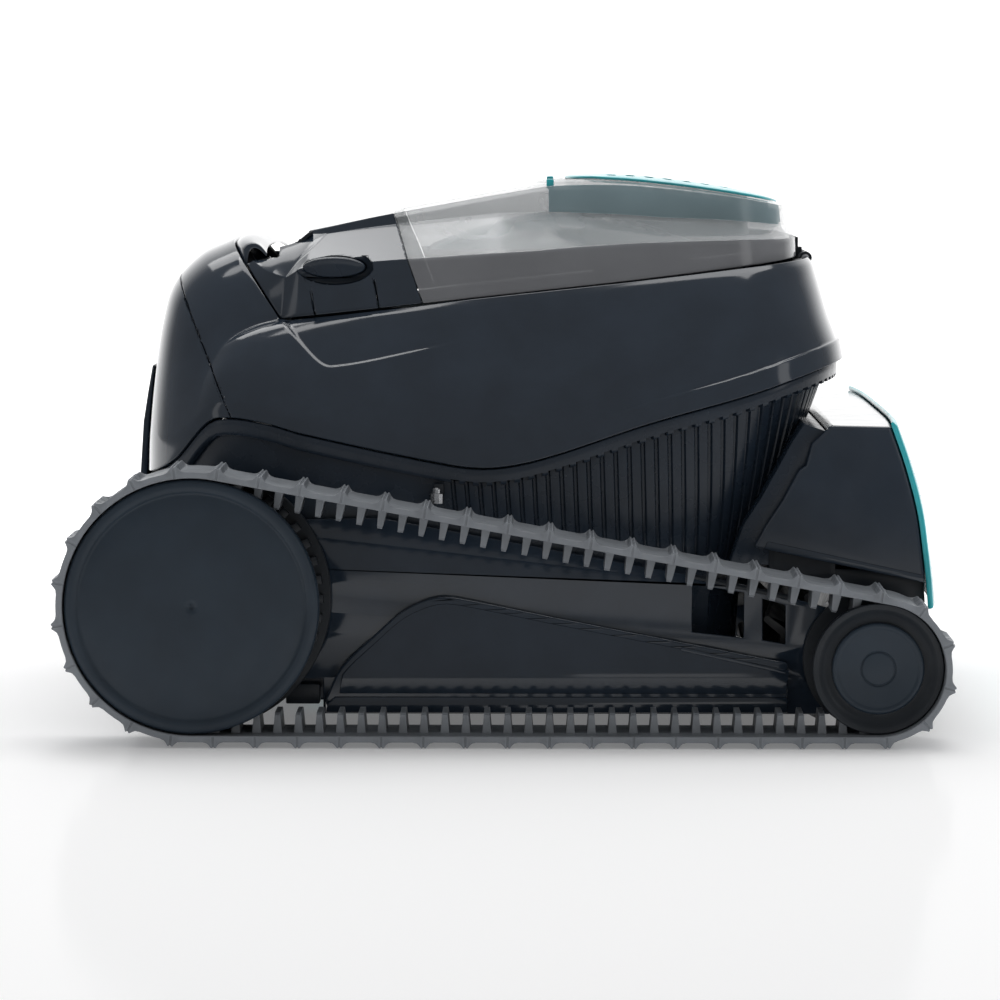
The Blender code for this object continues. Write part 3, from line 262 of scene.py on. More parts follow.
def torus(name, rows, finish, smooth_angle=40):
    """Closed body from rows of rings, joined last to first."""
    return body_from(name, rows, finish, smooth_angle, False)


def capped(name, rows, finish, smooth_angle=40):
    """Closed body from rows of rings, its first and last ring capped."""
    return body_from(name, rows, finish, smooth_angle, True)


def applied(obj, finish=None, smooth_angle=40):
    """The object with its modifiers applied."""
    mesh = evaluated_mesh(obj)
    obj.modifiers.clear()
    obj.data = mesh
    shade(mesh, smooth_angle)
    if finish:
        mesh.materials.clear()
        mesh.materials.append(finish)
        mesh.polygons.foreach_set("material_index", np.zeros(len(mesh.polygons), np.int32))
    return obj


def cut(obj, *cutters, operation="DIFFERENCE"):
    """Booleans with other objects, which are removed afterwards."""
    for cutter in cutters:
        step = obj.modifiers.new("cut", "BOOLEAN")
        step.object, step.operation, step.solver = cutter, operation, "MANIFOLD"
        finish = obj.data.materials[0] if obj.data.materials else None
        applied(obj, finish)
        bpy.data.objects.remove(cutter, do_unlink=True)
    return obj


def rounded(obj, width, segments=2, angle=40, smooth_angle=40, weld=0.00003):
    """Rounds the edges that are sharper than an angle, after merging points closer than weld."""
    merge = obj.modifiers.new("weld", "WELD")
    merge.merge_threshold = weld
    step = obj.modifiers.new("edges", "BEVEL")
    step.width, step.segments, step.limit_method = width, segments, "ANGLE"
    step.angle_limit, step.use_clamp_overlap = math.radians(angle), False
    return applied(obj, smooth_angle=smooth_angle)


def box(name, low, high, finish=None, bevel=0.0):
    bm = bmesh.new()
    bmesh.ops.create_cube(bm, size=1.0)
    bmesh.ops.scale(bm, vec=[b - a for a, b in zip(low, high)], verts=bm.verts)
    bmesh.ops.translate(bm, vec=[(a + b) / 2 for a, b in zip(low, high)], verts=bm.verts)
    obj = piece(name, mesh_from(name, bm), finish)
    return rounded(obj, bevel) if bevel else obj


def plate(name, outlines, y_low, y_high, finish=None, bevel=0.0, segments=2):
    """Side-view (x, z) outlines, the first one filled and the rest holes in it, from y_low to y_high."""
    curve = bpy.data.curves.new(name, "CURVE")
    curve.dimensions, curve.fill_mode, curve.extrude = "2D", "BOTH", (y_high - y_low) / 2
    for points in outlines:
        spline = curve.splines.new("POLY")
        spline.points.add(len(points) - 1)
        for point, (x, z) in zip(spline.points, points):
            point.co = (x, z, 0, 1)
        spline.use_cyclic_u = True
    flat = added(name + "_outline", curve)
    mesh = evaluated_mesh(flat)
    bpy.data.objects.remove(flat, do_unlink=True)
    bm = bmesh.new()
    bm.from_mesh(mesh)
    bmesh.ops.remove_doubles(bm, verts=bm.verts, dist=0.00001)
    for v in bm.verts:
        x, z, across = v.co
        v.co = (x, across + (y_low + y_high) / 2, z)
    bm.to_mesh(mesh)
    bm.free()
    obj = piece(name, mesh, finish)
    return rounded(obj, bevel, segments) if bevel else obj


def lathe(name, profile, centre, side, finish, steps=128, smooth_angle=35):
    """Turns (radius, distance) points about an axis along Y, outwards on a side, or upright for side 0.
    The profile starts and ends on its axis, or closes on itself."""
    angle = math.tau * np.arange(steps) / steps
    rows = []
    for radius, distance in profile:
        first, second = centre[0] + radius * np.cos(angle), centre[1] + radius * np.sin(angle)
        along = np.full(steps, side * distance if side else distance)
        rows.append(np.column_stack([first, along, second] if side else [first, second, along]))
    if profile[0][0] > 0:
        return torus(name, rows, finish, smooth_angle)
    return capped(name, rows[1:-1], finish, smooth_angle)


def slab(name, line, behind):
    """A half-space across the machine, behind or ahead of a slanting line in the side view."""
    (x0, z0), (x1, z1) = line
    half = 0.25
    far = 2 * half
    length = math.hypot(x1 - x0, z1 - z0)
    ux, uz = (x0 - x1) / length, (z0 - z1) / length
    side = -1 if behind else 1
    nx, nz = side * uz, -side * ux
    cx, cz = (x0 + x1) / 2 - nx * GAP / 2, (z0 + z1) / 2 - nz * GAP / 2
    corners = [
        (cx + a * ux * far + b * nx * far, cz + a * uz * far + b * nz * far)
        for a, b in ((-1, 0), (1, 0), (1, 1), (-1, 1))
    ]
    return plate(name, [corners], -half, half)


def settle(obj, body, slot=None, *replaced):
    """Rides the piece on its body, and hides the CAD nodes that it stands for."""
    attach(obj, body)
    if replaced:
        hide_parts(*replaced)
    return obj


# ---------- materials

class Nodes:
    """Adds shader nodes to a material or a world, left to right."""

    def __init__(self, owner, shader="Principled BSDF", coordinates="Object"):
        owner.use_nodes = True
        self.owner, self.tree = owner, owner.node_tree
        self.shader = self.tree.nodes[shader]
        self.place = self.new("ShaderNodeTexCoord").outputs[coordinates]

    def new(self, kind, **settings):
        node = self.tree.nodes.new(kind)
        for key, value in settings.items():
            if key in node.inputs:
                node.inputs[key].default_value = value
            else:
                setattr(node, key, value)
        return node

    def link(self, source, target):
        self.tree.links.new(source, target)

    def noise(self, scale, detail=3.0, stretch=(1, 1, 1)):
        mapping = self.new("ShaderNodeMapping", Scale=stretch)
        self.link(self.place, mapping.inputs["Vector"])
        noise = self.new("ShaderNodeTexNoise", Scale=scale, Detail=detail)
        self.link(mapping.outputs["Vector"], noise.inputs["Vector"])
        return noise.outputs["Fac"]

    def spread(self, value, low, high, source_low=0.35, source_high=0.65, **settings):
        """Maps the middle of a noise, or another stretch of a value, to a range."""
        ends = {"From Min": source_low, "From Max": source_high, "To Min": low, "To Max": high}
        step = self.new("ShaderNodeMapRange", **ends, **settings)
        self.link(value, step.inputs["Value"])
        return step.outputs["Result"]

    def blend(self, amount, first, second):
        mix = self.new("ShaderNodeMix", data_type="RGBA")
        mix.inputs["A"].default_value, mix.inputs["B"].default_value = (*first, 1), (*second, 1)
        self.link(amount, mix.inputs["Factor"])
        return mix.outputs["Result"]

    def vary(self, socket, noise, low, high):
        """Drives one of the shader's inputs between two values."""
        self.link(self.spread(noise, low, high), self.shader.inputs[socket])

    def tint(self, noise, first, second):
        self.link(self.blend(self.spread(noise, 0, 1), first, second), self.shader.inputs["Base Color"])

    def bump(self, height, strength, distance):
        step = self.new("ShaderNodeBump", Strength=strength, Distance=distance)
        self.link(height, step.inputs["Height"])
        self.link(step.outputs["Normal"], self.shader.inputs["Normal"])


def scaled(colour, factor):
    return tuple(c * factor for c in colour)


def plastic(name, colour, roughness, grain=0.0, grain_scale=2600.0, ior=1.45):
    """Moulded plastic: slightly uneven colour and gloss, and a fine mould texture if it has a grain."""
    made = Nodes(bpy.data.materials.new(name))
    made.tint(made.noise(38.0, 4.0), scaled(colour, 0.9), scaled(colour, 1.1))
    made.vary("Roughness", made.noise(70.0, 5.0), roughness * 0.85, roughness * 1.2)
    made.shader.inputs["IOR"].default_value = ior
    if grain:
        made.bump(made.noise(grain_scale, 2.0), grain, 0.00005)
    return made.owner


def clear_plastic(name, colour, alpha, roughness):
    """Tinted transparent plastic, a little uneven in how much it lets through."""
    made = Nodes(bpy.data.materials.new(name))
    made.tint(made.noise(24.0, 3.0), colour, scaled(colour, 1.15))
    made.vary("Roughness", made.noise(60.0, 4.0), roughness * 0.7, roughness * 1.5)
    made.vary("Alpha", made.noise(15.0, 2.0), alpha * 0.95, min(1, alpha * 1.05))
    made.shader.inputs["IOR"].default_value = 1.5
    return made.owner


def rubber(name, colour):
    """Matt moulded rubber, with a painted highlight: paler on its sharpest edges."""
    made = Nodes(bpy.data.materials.new(name))
    mottled = made.blend(made.spread(made.noise(45.0, 6.0), 0, 1), scaled(colour, 0.86), scaled(colour, 1.12))
    # painted highlight: the colour turns paler along sharp convex edges, such as the lug tips
    edge_highlight = made.new("ShaderNodeMix", data_type="RGBA")
    edge_highlight.inputs["B"].default_value = (*scaled(colour, 1.45), 1)
    made.link(mottled, edge_highlight.inputs["A"])
    curvature = made.new("ShaderNodeNewGeometry").outputs["Pointiness"]
    made.link(made.spread(curvature, 0, 0.6, 0.52, 0.6), edge_highlight.inputs["Factor"])
    made.link(edge_highlight.outputs["Result"], made.shader.inputs["Base Color"])
    made.vary("Roughness", made.noise(160.0, 4.0), 0.42, 0.6)
    made.bump(made.noise(1500.0, 3.0), 0.18, 0.00008)
    return made.owner


def metal(name, colour, roughness):
    """Brushed or turned metal."""
    made = Nodes(bpy.data.materials.new(name))
    streaks = made.noise(420.0, 3.0, (1, 1, 14))
    made.tint(streaks, scaled(colour, 0.85), colour)
    made.vary("Roughness", streaks, roughness * 0.8, roughness * 1.3)
    made.shader.inputs["Metallic"].default_value = 1.0
    made.bump(streaks, 0.06, 0.00004)
    return made.owner


def woven(name, colour, pitch):
    """Fine filter cloth: threads all three ways, and clearer between them."""
    made = Nodes(bpy.data.materials.new(name))
    made.shader.inputs["Base Color"].default_value = (*colour, 1)
    made.shader.inputs["Roughness"].default_value = 0.6
    waves = []
    for direction in ("X", "Y", "Z"):
        wave = made.new("ShaderNodeTexWave", bands_direction=direction, Scale=0.314 / pitch)
        made.link(made.place, wave.inputs["Vector"])
        waves.append(wave.outputs["Fac"])
    least = waves[0]
    for wave in waves[1:]:
        step = made.new("ShaderNodeMath", operation="MINIMUM")
        made.link(least, step.inputs[0])
        made.link(wave, step.inputs[1])
        least = step.outputs["Value"]
    made.link(made.spread(least, 0.9, 0.72, 0.2, 0.7), made.shader.inputs["Alpha"])
    return made.owner


GLOSS = plastic("gloss_shell", (0.0215, 0.032, 0.048), 0.1, ior=1.5)
NAVY = plastic("navy_plastic", (0.017, 0.026, 0.04), 0.26, ior=1.4)
DARK = plastic("dark_plastic", (0.0105, 0.0145, 0.02), 0.42, 0.08, 1700.0, ior=1.4)
DISC = plastic("disc_plastic", (0.019, 0.03, 0.044), 0.34, ior=1.36)
RUBBER = rubber("grey_rubber", (0.185, 0.2, 0.22))
BLACK_RUBBER = rubber("black_rubber", (0.016, 0.017, 0.019))
TURQUOISE = plastic("turquoise_plastic", (0.035, 0.44, 0.49), 0.2)
TEAL_CLEAR = clear_plastic("clear_teal", (0.1, 0.24, 0.26), 0.62, 0.12)
SMOKE = clear_plastic("smoky_clear", (0.48, 0.505, 0.52), 0.4, 0.08)
TEAL_WALL = clear_plastic("teal_wall", (0.24, 0.33, 0.36), 0.86, 0.16)
TEAL_HUMP = clear_plastic("teal_hump", (0.035, 0.125, 0.145), 0.9, 0.3)
SMOKE_WALL = clear_plastic("smoky_wall", (0.2, 0.206, 0.22), 0.82, 0.12)
STEEL = metal("steel", (0.55, 0.56, 0.58), 0.28)
MESH = woven("fine_mesh", (0.26, 0.31, 0.32), 0.0045)
WRAP = plastic("battery_wrap", (0.02, 0.09, 0.06), 0.35, 0.06)


# ---------- housing

SPLIT_PLAN = (-0.18, 0.168, 0.15)
SEAM_PLAN = (-0.1375, 0.151, 0.1168)


def section_at(sections, share):
    """(rear, front, half width) between design sections, smoothly."""
    shares = [row[0] for row in sections]
    return [float(line_through([(s, row[k]) for s, row in zip(shares, sections)])(share)) for k in (1, 2, 3)]


def housing_rows(shares_up):
    low = plan_ring(*SPLIT_PLAN)[:, 0]
    high = plan_ring(*SEAM_PLAN)[:, 0]
    rows = []
    for share in shares_up:
        plan = plan_ring(*section_at(HOUSING_SECTIONS, share))
        z = split_z(low) + GAP / 2 + share * (seam_z(high) - split_z(low))
        rows.append(np.column_stack([plan, z]))
    return np.array(rows)


def housing_relief(rows):
    """How far the surface stands out: the flange along the lower edge and the recess under the latch."""
    x, z = rows[..., 0], rows[..., 2]
    above = z - rows[:1, :, 2]
    flange = 0.0013 * (1 - smoothstep(0.0092, 0.0102, above)) * smoothstep(0.03, 0.14, x)
    recess = smoothstep(-0.0004, 0.0014, z - shoulder_z(x)) * smoothstep(-0.1125, -0.1105, x)
    return flange - 0.0009 * recess * (1 - smoothstep(-0.05, -0.012, x))


def housing_skin(name):
    fine = np.concatenate([np.linspace(0, 0.16, 26), np.linspace(0.165, 1.0, 92)])
    outer = housing_rows(fine)
    outer = outer + normals_of(outer) * housing_relief(outer)[..., None]
    plain = housing_rows(np.linspace(0, 1.0, 24))
    inner = plain - normals_of(plain) * WALL
    return torus(name, np.concatenate([outer, inner[::-1]]), GLOSS)


def make_housing():
    housing = housing_skin("housing_shell")
    cut(housing, slab("behind_shoulder", REAR_SPLIT, behind=True))
    cut(housing, box("hinge_notch", (0.1395, -0.0445, 0.2185), (0.16, 0.0445, 0.24)))
    rounded(housing, 0.0005, 2, weld=0.0002)
    settle(housing, "chassis", "gloss_shell", "upper_housing")
    cover = cut(housing_skin("rear_cover_shell"), slab("ahead_of_shoulder", REAR_SPLIT, behind=False))
    rounded(cover, 0.0006, 2, weld=0.0002)
    settle(cover, "chassis", "gloss_shell", "rear_cover")


def stepped_shares(pitch, edges, rear_limit):
    """Shares round the machine, with columns at the (distance, depth) edges inside each pitch as far back as
    the limit, and each column's depth."""
    samples = 8000
    outline = plan_ring(*SPLIT_PLAN, shares=np.arange(samples) / samples)
    length = reach_along(outline)
    reach = length[np.argmax(outline[:, 0] < rear_limit)]
    total = length[-1] * samples / (samples - 1)
    count = int(reach / pitch)
    near = np.concatenate([(k + 0.5) * pitch + np.array([d for d, _ in edges]) for k in range(count)])
    depth = np.tile([v for _, v in edges], count)
    plain = np.arange(count * pitch + 0.003, total / 2, 0.004)
    half = np.concatenate([near, plain])
    deep = np.concatenate([depth, np.zeros(len(plain))])
    shares = np.concatenate([half, (total - half)[::-1]]) / total
    return shares, np.concatenate([deep, deep[::-1]])


def make_band():
    """The band under the housing, its lower edge notched along the flutes."""
    notch = [(-0.002, 0), (-0.0019, 1), (0.0, 1), (0.0019, 1), (0.002, 0), (0.0027, 0)]
    shares, notched = stepped_shares(FLUTE_PITCH, notch, -0.03)
    below = split_z(plan_ring(*SPLIT_PLAN, shares=shares)[:, 0])

    def ring(inset, drop):
        plan = plan_ring(*inset_by(BAND_PLAN, inset), shares)
        return np.column_stack([plan, below - drop])

    rise = 0.0018 * notched
    rows = [
        ring(0.0006, 0.0007), ring(0.0002, 0.0009), ring(0.0, 0.0014), ring(0.0001, 0.004),
        ring(0.0003, BAND_HEIGHT - 0.0018), ring(0.0004, BAND_HEIGHT - 0.0003 - rise),
        ring(0.0007, BAND_HEIGHT - rise), ring(0.003, BAND_HEIGHT - rise), ring(0.003, 0.0007),
    ]
    band = torus("waist_band", rows, NAVY, 50)
    settle(band, "chassis", "navy_plastic", "shell_band")


belt_cover_z = polyline(COVER_LINE)


def half_length(section):
    samples = 2000
    outline = plan_ring(*section, shares=np.arange(samples) / (2 * samples))
    return float(np.sum(np.hypot(*np.diff(outline, axis=0).T)))


def upright_shares(section, top_section, shares):
    """Shares that keep a ring's columns upright along its sides, and squeeze them round its ends."""
    corner, back = 0.165, 0.36                   # distances round it from its front middle
    whole, top_whole = half_length(section), half_length(top_section)
    half = np.where(shares > 0.5, 1 - shares, shares) * 2 * top_whole
    lost = top_section[1] - section[1]
    front = half * (corner - lost) / corner
    moved = np.where(half > corner, half - lost, front)
    rear = back - lost + (half - back) * (whole - back + lost) / (top_whole - back)
    result = np.where(half > back, rear, moved) / (2 * whole)
    return np.where(shares > 0.5, 1 - result, result)


def make_body_wall():
    """The fluted wall between the belt and the band."""
    groove = [
        (-0.0013, 0), (-0.001, 0.35), (-0.0006, 0.9), (0, 1), (0.0006, 0.9), (0.001, 0.35), (0.0013, 0),
        (0.0026, -0.06),
    ]
    groove_depth = 0.0016
    shares, deep = stepped_shares(FLUTE_PITCH, groove, -0.028)
    at_split = plan_ring(*SPLIT_PLAN, shares=shares)
    top_of = split_z(at_split[:, 0]) - BAND_HEIGHT + 0.0012
    bottom_plan, top_plan = (-0.17, 0.122, 0.144), (-0.175, 0.1585, 0.1444)

    def row(t, inset):
        section = inset_by([a + (b - a) * t for a, b in zip(bottom_plan, top_plan)], inset)
        plan = plan_ring(*section, shares=upright_shares(section, top_plan, shares))
        low = belt_cover_z(plan[:, 0]) + GAP / 2
        return np.column_stack([plan, low + (top_of - low) * t])

    rows = np.array([row(t, 0) for t in np.linspace(0, 1, 26)])
    rows = rows - normals_of(rows) * (groove_depth * deep)[None, :, None]
    inner = np.array([row(t, 0.004) for t in np.linspace(0, 1, 6)])
    wall = torus("fluted_wall", np.concatenate([rows, inner[::-1]]), NAVY, 50)
    settle(wall, "chassis", "navy_plastic", "body_wall")


def make_rear_panel():
    outline = [
        (-0.1782, 0.1735), (-0.1806, 0.16), (-0.183, 0.145), (-0.1848, 0.118), (-0.1846, 0.095),
        (-0.1798, 0.093), (-0.1798, 0.1162), (-0.1812, 0.118), (-0.1808, 0.13), (-0.1795, 0.148),
        (-0.1776, 0.168), (-0.177, 0.1735),
    ]
    panel = plate("rear_middle_panel", [outline], -0.055, 0.055, GLOSS, 0.0008, 3)
    settle(panel, "chassis", "navy_plastic", "rear_panel")


# ---------- front bumper and handle

BUMPER_FRONT = [(0.185, 0.149), (0.1915, 0.1305), (0.1975, 0.108), (0.2005, 0.087), (0.202, 0.0745)]
BUMPER_HALF, BUMPER_BOW = 0.1485, 0.005


def bowed(outline, half, steps=48):
    """Sections of a side-view outline across the machine, bowed forward in the middle."""
    outline = np.array(outline)
    sections = []
    for y in np.linspace(-half, half, steps):
        bow = BUMPER_BOW * (1 - (y / half) ** 4) * np.clip((outline[:, 0] - 0.15) / 0.05, 0, None)
        sections.append(np.column_stack([outline[:, 0] + bow, np.full(len(outline), y), outline[:, 1]]))
    return sections


def smooth_line(points, count):
    """A finer line through a run of points, even along it."""
    points = np.array(points, float)
    reach = reach_along(points)
    at = np.linspace(0, reach[-1], count)
    return np.column_stack([line_through(list(zip(reach, points[:, k])))(at) for k in (0, 1)])


def make_bumper():
    front = smooth_line(BUMPER_FRONT, 24)
    outer = [(0.1196, 0.0906), (0.1253, 0.1012), (0.1335, 0.1136), (0.1412, 0.128), (0.1446, 0.1304),
             (0.1475, 0.141), (0.1566, 0.1496), *front]
    bumper = capped("bumper_shell", bowed(outer, BUMPER_HALF), GLOSS)
    inside = [(0.1, 0.05), (0.1, 0.1468), (0.16, 0.1468)]
    inside += [(x - WALL, z - WALL * 0.9) for x, z in front[:-1]] + [(0.1985, 0.05)]
    cut(bumper, capped("bumper_inside", bowed(inside, BUMPER_HALF - WALL), None))
    rounded(bumper, 0.0014, 3, weld=0.0001)
    bumper.modifiers.new("even_shading", "WEIGHTED_NORMAL").keep_sharp = True
    settle(bumper, "chassis", "gloss_shell", "front_bumper")
    line = np.array([(0.1828, 0.1512), *front, (0.203, 0.061)])
    back = line + (GAP + 0.0002, -0.0002)
    outline = [*(line + (0.0032, 0.0004)), *(back[::-1][:-1]), (0.185, 0.1502)]
    trim = rounded(capped("bumper_stripe", bowed(outline, BUMPER_HALF), TURQUOISE), 0.0007, 2, 50)
    settle(trim, "chassis", "turquoise_plastic", "bumper_trim")


def make_bumper_fillers():
    """What closes the bumper's open back and underside, and the lip along each side's lower edge."""
    bulkhead = [(0.108, 0.082), (0.13, 0.0815), (0.14, 0.11), (0.15, 0.13), (0.156, 0.146),
                (0.144, 0.15), (0.138, 0.141), (0.131, 0.128), (0.123, 0.1136), (0.115, 0.1012)]
    settle(plate("front_bulkhead", [bulkhead], -0.1425, 0.1425, NAVY, 0.0006), "chassis", "navy_plastic")
    apron = [(0.156, 0.08), (0.156, 0.0745), (0.175, 0.069), (0.2018, 0.0613), (0.2026, 0.064),
             (0.202, 0.0745), (0.19, 0.079)]
    settle(plate("bumper_apron", [apron], -0.143, 0.143, DARK, 0.0006), "chassis", "dark_plastic")
    edge = [(0.1245, 0.09), (0.2015, 0.074), (0.2013, 0.0775), (0.1262, 0.0938)]
    for name, side in SIDES.items():
        lip = plate(f"bumper_lip_{name}", [edge], *span(side, 0.1478, 0.1497), GLOSS, 0.0006, 2)
        settle(lip, "chassis", "gloss_shell")


def make_handle():
    """The curled lip across the back of the lid opening, with the ledge that it stands on."""
    outline = [
        (-0.1362, 0.2222), (-0.1362, 0.2362), (-0.1335, 0.2384), (-0.129, 0.2392), (-0.1245, 0.2378),
        (-0.12, 0.234), (-0.1204, 0.2326), (-0.125, 0.2358), (-0.129, 0.2369), (-0.1322, 0.2354),
        (-0.1336, 0.231), (-0.1336, 0.225), (-0.114, 0.225), (-0.114, 0.2222),
    ]
    lip = [outline[0], *smooth_line(outline[1:6], 20), *smooth_line(outline[6:11], 16), *outline[11:]]
    rear, front, half = SEAM_PLAN
    middle, reach = (rear + front) / 2, (front - rear) / 2
    lip_half, end_drop = 0.085, 0.004
    sections = []
    for y in np.linspace(-lip_half, lip_half, 41):
        rim = middle - reach * (1 - abs(y / half) ** PLAN_POWER) ** (1 / PLAN_POWER)
        drop = end_drop * abs(y / lip_half) ** 3
        sections.append([(x + (rim - rear) * (-0.114 - x) / 0.0222, y, z - drop) for x, z in lip])
    handle = rounded(capped("carry_lip", sections, GLOSS), 0.0005, 2)
    settle(handle, "chassis", "gloss_shell", "carry_handle")


# ---------- lid

crease_rise, shoulder_rise = polyline(CREASE_RISE), polyline(SHOULDER_RISE)


def lid_section(share):
    """(rear, front, half width): flat wall and chamfer, then a rounded roof."""
    shares = [row[0] for row in LID_SECTIONS]
    return [float(np.interp(share, shares, [row[k] for row in LID_SECTIONS])) for k in (1, 2, 3)]


def lid_rise(x, share):
    """Share of the rise from seam to crown at a share of the way up the lid's sections."""
    crease, shoulder = crease_rise(x), shoulder_rise(x)
    if share <= LID_CREASE:
        return crease * share / LID_CREASE
    if share <= LID_SHOULDER:
        return crease + (shoulder - crease) * (share - LID_CREASE) / (LID_SHOULDER - LID_CREASE)
    return shoulder + (1 - shoulder) * ((share - LID_SHOULDER) / (1 - LID_SHOULDER))


def lid_rows(shares_up):
    corner = plan_ring(*SEAM_PLAN)[:, 0]
    rows = []
    for share in shares_up:
        plan = plan_ring(*lid_section(share))
        base = seam_z(corner) + GAP
        rise = crown_z(plan[:, 0]) + LID_GAP - base
        rows.append(np.column_stack([plan, base + lid_rise(plan[:, 0], share) * rise]))
    return np.array(rows)


def roof_height(x, y):
    """Height of the lid's outside at places in plan, on its roof."""
    shares = np.linspace(0.97, 1.0, 80)
    inside = []
    for share in shares:
        rear, front, half = lid_section(share)
        across = (np.abs(x - (rear + front) / 2) / ((front - rear) / 2)) ** PLAN_POWER
        inside.append(across + (np.abs(y) / half) ** PLAN_POWER < 1)
    share = shares[np.clip(np.sum(inside, axis=0) - 1, 0, len(shares) - 1)]
    rise = shoulder_rise(x) + (1 - shoulder_rise(x)) * (share - LID_SHOULDER) / (1 - LID_SHOULDER)
    return seam_z(x) + LID_GAP + rise * (crown_z(x) - seam_z(x))


def lid_shell(name, finish):
    rows = np.concatenate([
        np.linspace(0, LID_CREASE - 0.008, 12), [LID_CREASE, LID_CREASE + 0.008],
        np.linspace(LID_CREASE + 0.02, LID_SHOULDER - 0.008, 14), [LID_SHOULDER, LID_SHOULDER + 0.004],
        np.linspace(0.82, 0.965, 6), [0.97, 0.9712, 0.974, 0.978, 0.985, 0.992, 0.997, 1.0, 1.003],
    ])
    outer = lid_rows(rows)
    plain = lid_rows(np.array([0, 0.2, 0.39, 0.41, 0.6, 0.79, 0.81, 0.9, 0.97, 0.98, 1.0, 1.003]))
    inner = plain - normals_of(plain) * LID_THICK
    return capped(name, np.concatenate([inner[::-1], outer]), finish, 30)


def oval(length, height, centre, count=48):
    angles = [math.tau * i / count for i in range(count)]
    return [(centre[0] + length / 2 * math.cos(a), centre[1] + height / 2 * math.sin(a)) for a in angles]


BUTTON = (-0.084, 0.2243)
BUTTON_SIZE = (0.0305, 0.0098)


def seam_groove(name, side, line):
    """A thin slot cutter along a side-view line, as deep as a shut line."""
    width = 0.0007
    (x0, z0), (x1, z1) = line
    length = math.hypot(x1 - x0, z1 - z0)
    nx, nz = -(z1 - z0) / length * width / 2, (x1 - x0) / length * width / 2
    outline = [(x0 + nx, z0 + nz), (x1 + nx, z1 + nz), (x1 - nx, z1 - nz), (x0 - nx, z0 - nz)]
    return plate(name, [outline], *span(side, 0.1085, 0.13))


def add_latch_pocket(frame_skin, name, side):
    """Thickens the cover round a release button, and cuts its recess, its bore and two shut lines."""
    low, high = span(side, 0.096, 0.12)
    block = box(f"latch_block_{name}", (-0.105, low, 0.211), (-0.063, high, 0.2345))
    core_rows = lid_rows(np.linspace(0, 1.0, 40))
    core = core_rows - normals_of(core_rows) * 0.0008
    cut(block, capped("lid_core", core, None), operation="INTERSECT")
    cut(frame_skin, block, operation="UNION")
    bore = oval(BUTTON_SIZE[0] + 2 * GAP, BUTTON_SIZE[1] + 2 * GAP, BUTTON)
    cut(frame_skin, plate("recess", [oval(0.0378, 0.017, BUTTON)], *span(side, 0.1045, 0.14)),
        plate("bore", [bore], *span(side, 0.098, 0.14)),
        seam_groove("flap_rear", side, ((-0.0962, 0.215), (-0.093, 0.199))),
        seam_groove("flap_front", side, ((-0.0645, 0.2185), (-0.0615, 0.202))))


def make_lid_frame():
    """The opaque rear of the lid, with a pocket for each release button and the recess behind the lip."""
    frame_skin = lid_shell("lid_cover", GLOSS)
    scoop = [(-0.11, 0.22), (-0.11, 0.2322), (-0.104, 0.2356), (-0.0985, 0.2406), (-0.0985, 0.26),
             (-0.13, 0.26), (-0.13, 0.22)]
    cut(frame_skin, slab("frame_front", LID_SPLIT, behind=False),
        box("handle_notch", (-0.16, -0.087, 0.2), (-0.1125, 0.087, 0.27)),
        plate("finger_scoop", [scoop], -0.077, 0.077))
    for name, side in SIDES.items():
        add_latch_pocket(frame_skin, name, side)
    rounded(frame_skin, 0.0005, 2, weld=0.00015)
    settle(frame_skin, "lid", "gloss_shell", "lid_frame")
    floor = [(-0.1118, 0.2226), (-0.1118, 0.2318), (-0.105, 0.235), (-0.099, 0.24), (-0.0965, 0.2412),
             (-0.0965, 0.2396), (-0.103, 0.234), (-0.1098, 0.2305), (-0.1098, 0.2226)]
    settle(plate("finger_recess", [floor], -0.0785, 0.0785, DARK, 0.0004), "lid", "dark_plastic")


def window_finish(x, y, z, upright):
    """Which of the window's materials a face takes: 0 clear, 1 side wall, 2 side of the raised roof."""
    risen = (z - seam_z(x) - LID_GAP) / (crown_z(x) - seam_z(x))
    if risen < crease_rise(x) - 0.005:
        return 1
    if risen > shoulder_rise(x) and abs(y) > 0.05 and upright and 0.021 < x < 0.136:
        return 2
    return 0


def make_lid_window():
    window = lid_shell("lid_clear", SMOKE)
    cut(window, slab("window_rear", LID_SPLIT, behind=True))
    hole = [(0.0, 0.23), (0.0405, 0.23), (0.0405, 0.285), (0.0, 0.285)]
    cut(window, lathe("window_hole", hole, (PUMP_X, 0), 0, None, 96))
    rounded(window, 0.0004, 2, weld=0.00015)
    for finish in (SMOKE_WALL, TEAL_WALL):
        window.data.materials.append(finish)
    for polygon in window.data.polygons:
        polygon.material_index = window_finish(*polygon.center, abs(polygon.normal.z) < 0.6)
    settle(window, "lid", "smoky_clear", "lid_window")


SLOT_PITCH = 0.0097
GRILLE_PLAN = (0.029, 0.137, 0.06)


def make_grille():
    """The turquoise plate on the roof, slotted over the outlet."""
    rim = plan_ring(*GRILLE_PLAN, shares=np.arange(180) / 180, power=3.0)
    centre = np.array([(GRILLE_PLAN[0] + GRILLE_PLAN[1]) / 2, 0])
    top, under = 0.0016, 0.0003
    section = [(1, under), (1, 0.001), (0.996, 0.0014)]
    section += [(size, top) for size in (0.98, 0.9, 0.75, 0.5, 0.25, 0.03)]
    section += [(size, under) for size in (0.03, 0.25, 0.5, 0.75, 0.9, 0.99)]
    rows = []
    for size, lift in section:
        plan = centre + (rim - centre) * size
        rows.append(np.column_stack([plan, roof_height(*plan.T) + lift]))
    grille = torus("roof_grille", rows, TURQUOISE)
    for k in range(-3, 4):
        x = PUMP_X + SLOT_PITCH * k
        half = 0.036 * math.sqrt(1 - (k / 4.2) ** 2)
        slot = box(f"slot_{k + 3}", (x - 0.0022, -half, 0.235), (x + 0.0022, half, 0.285))
        cut(grille, rounded(slot, 0.0018, 3))
    rounded(grille, 0.0003, 2, 50, weld=0.00008)
    settle(grille, "lid", "turquoise_plastic", "outlet_grille")


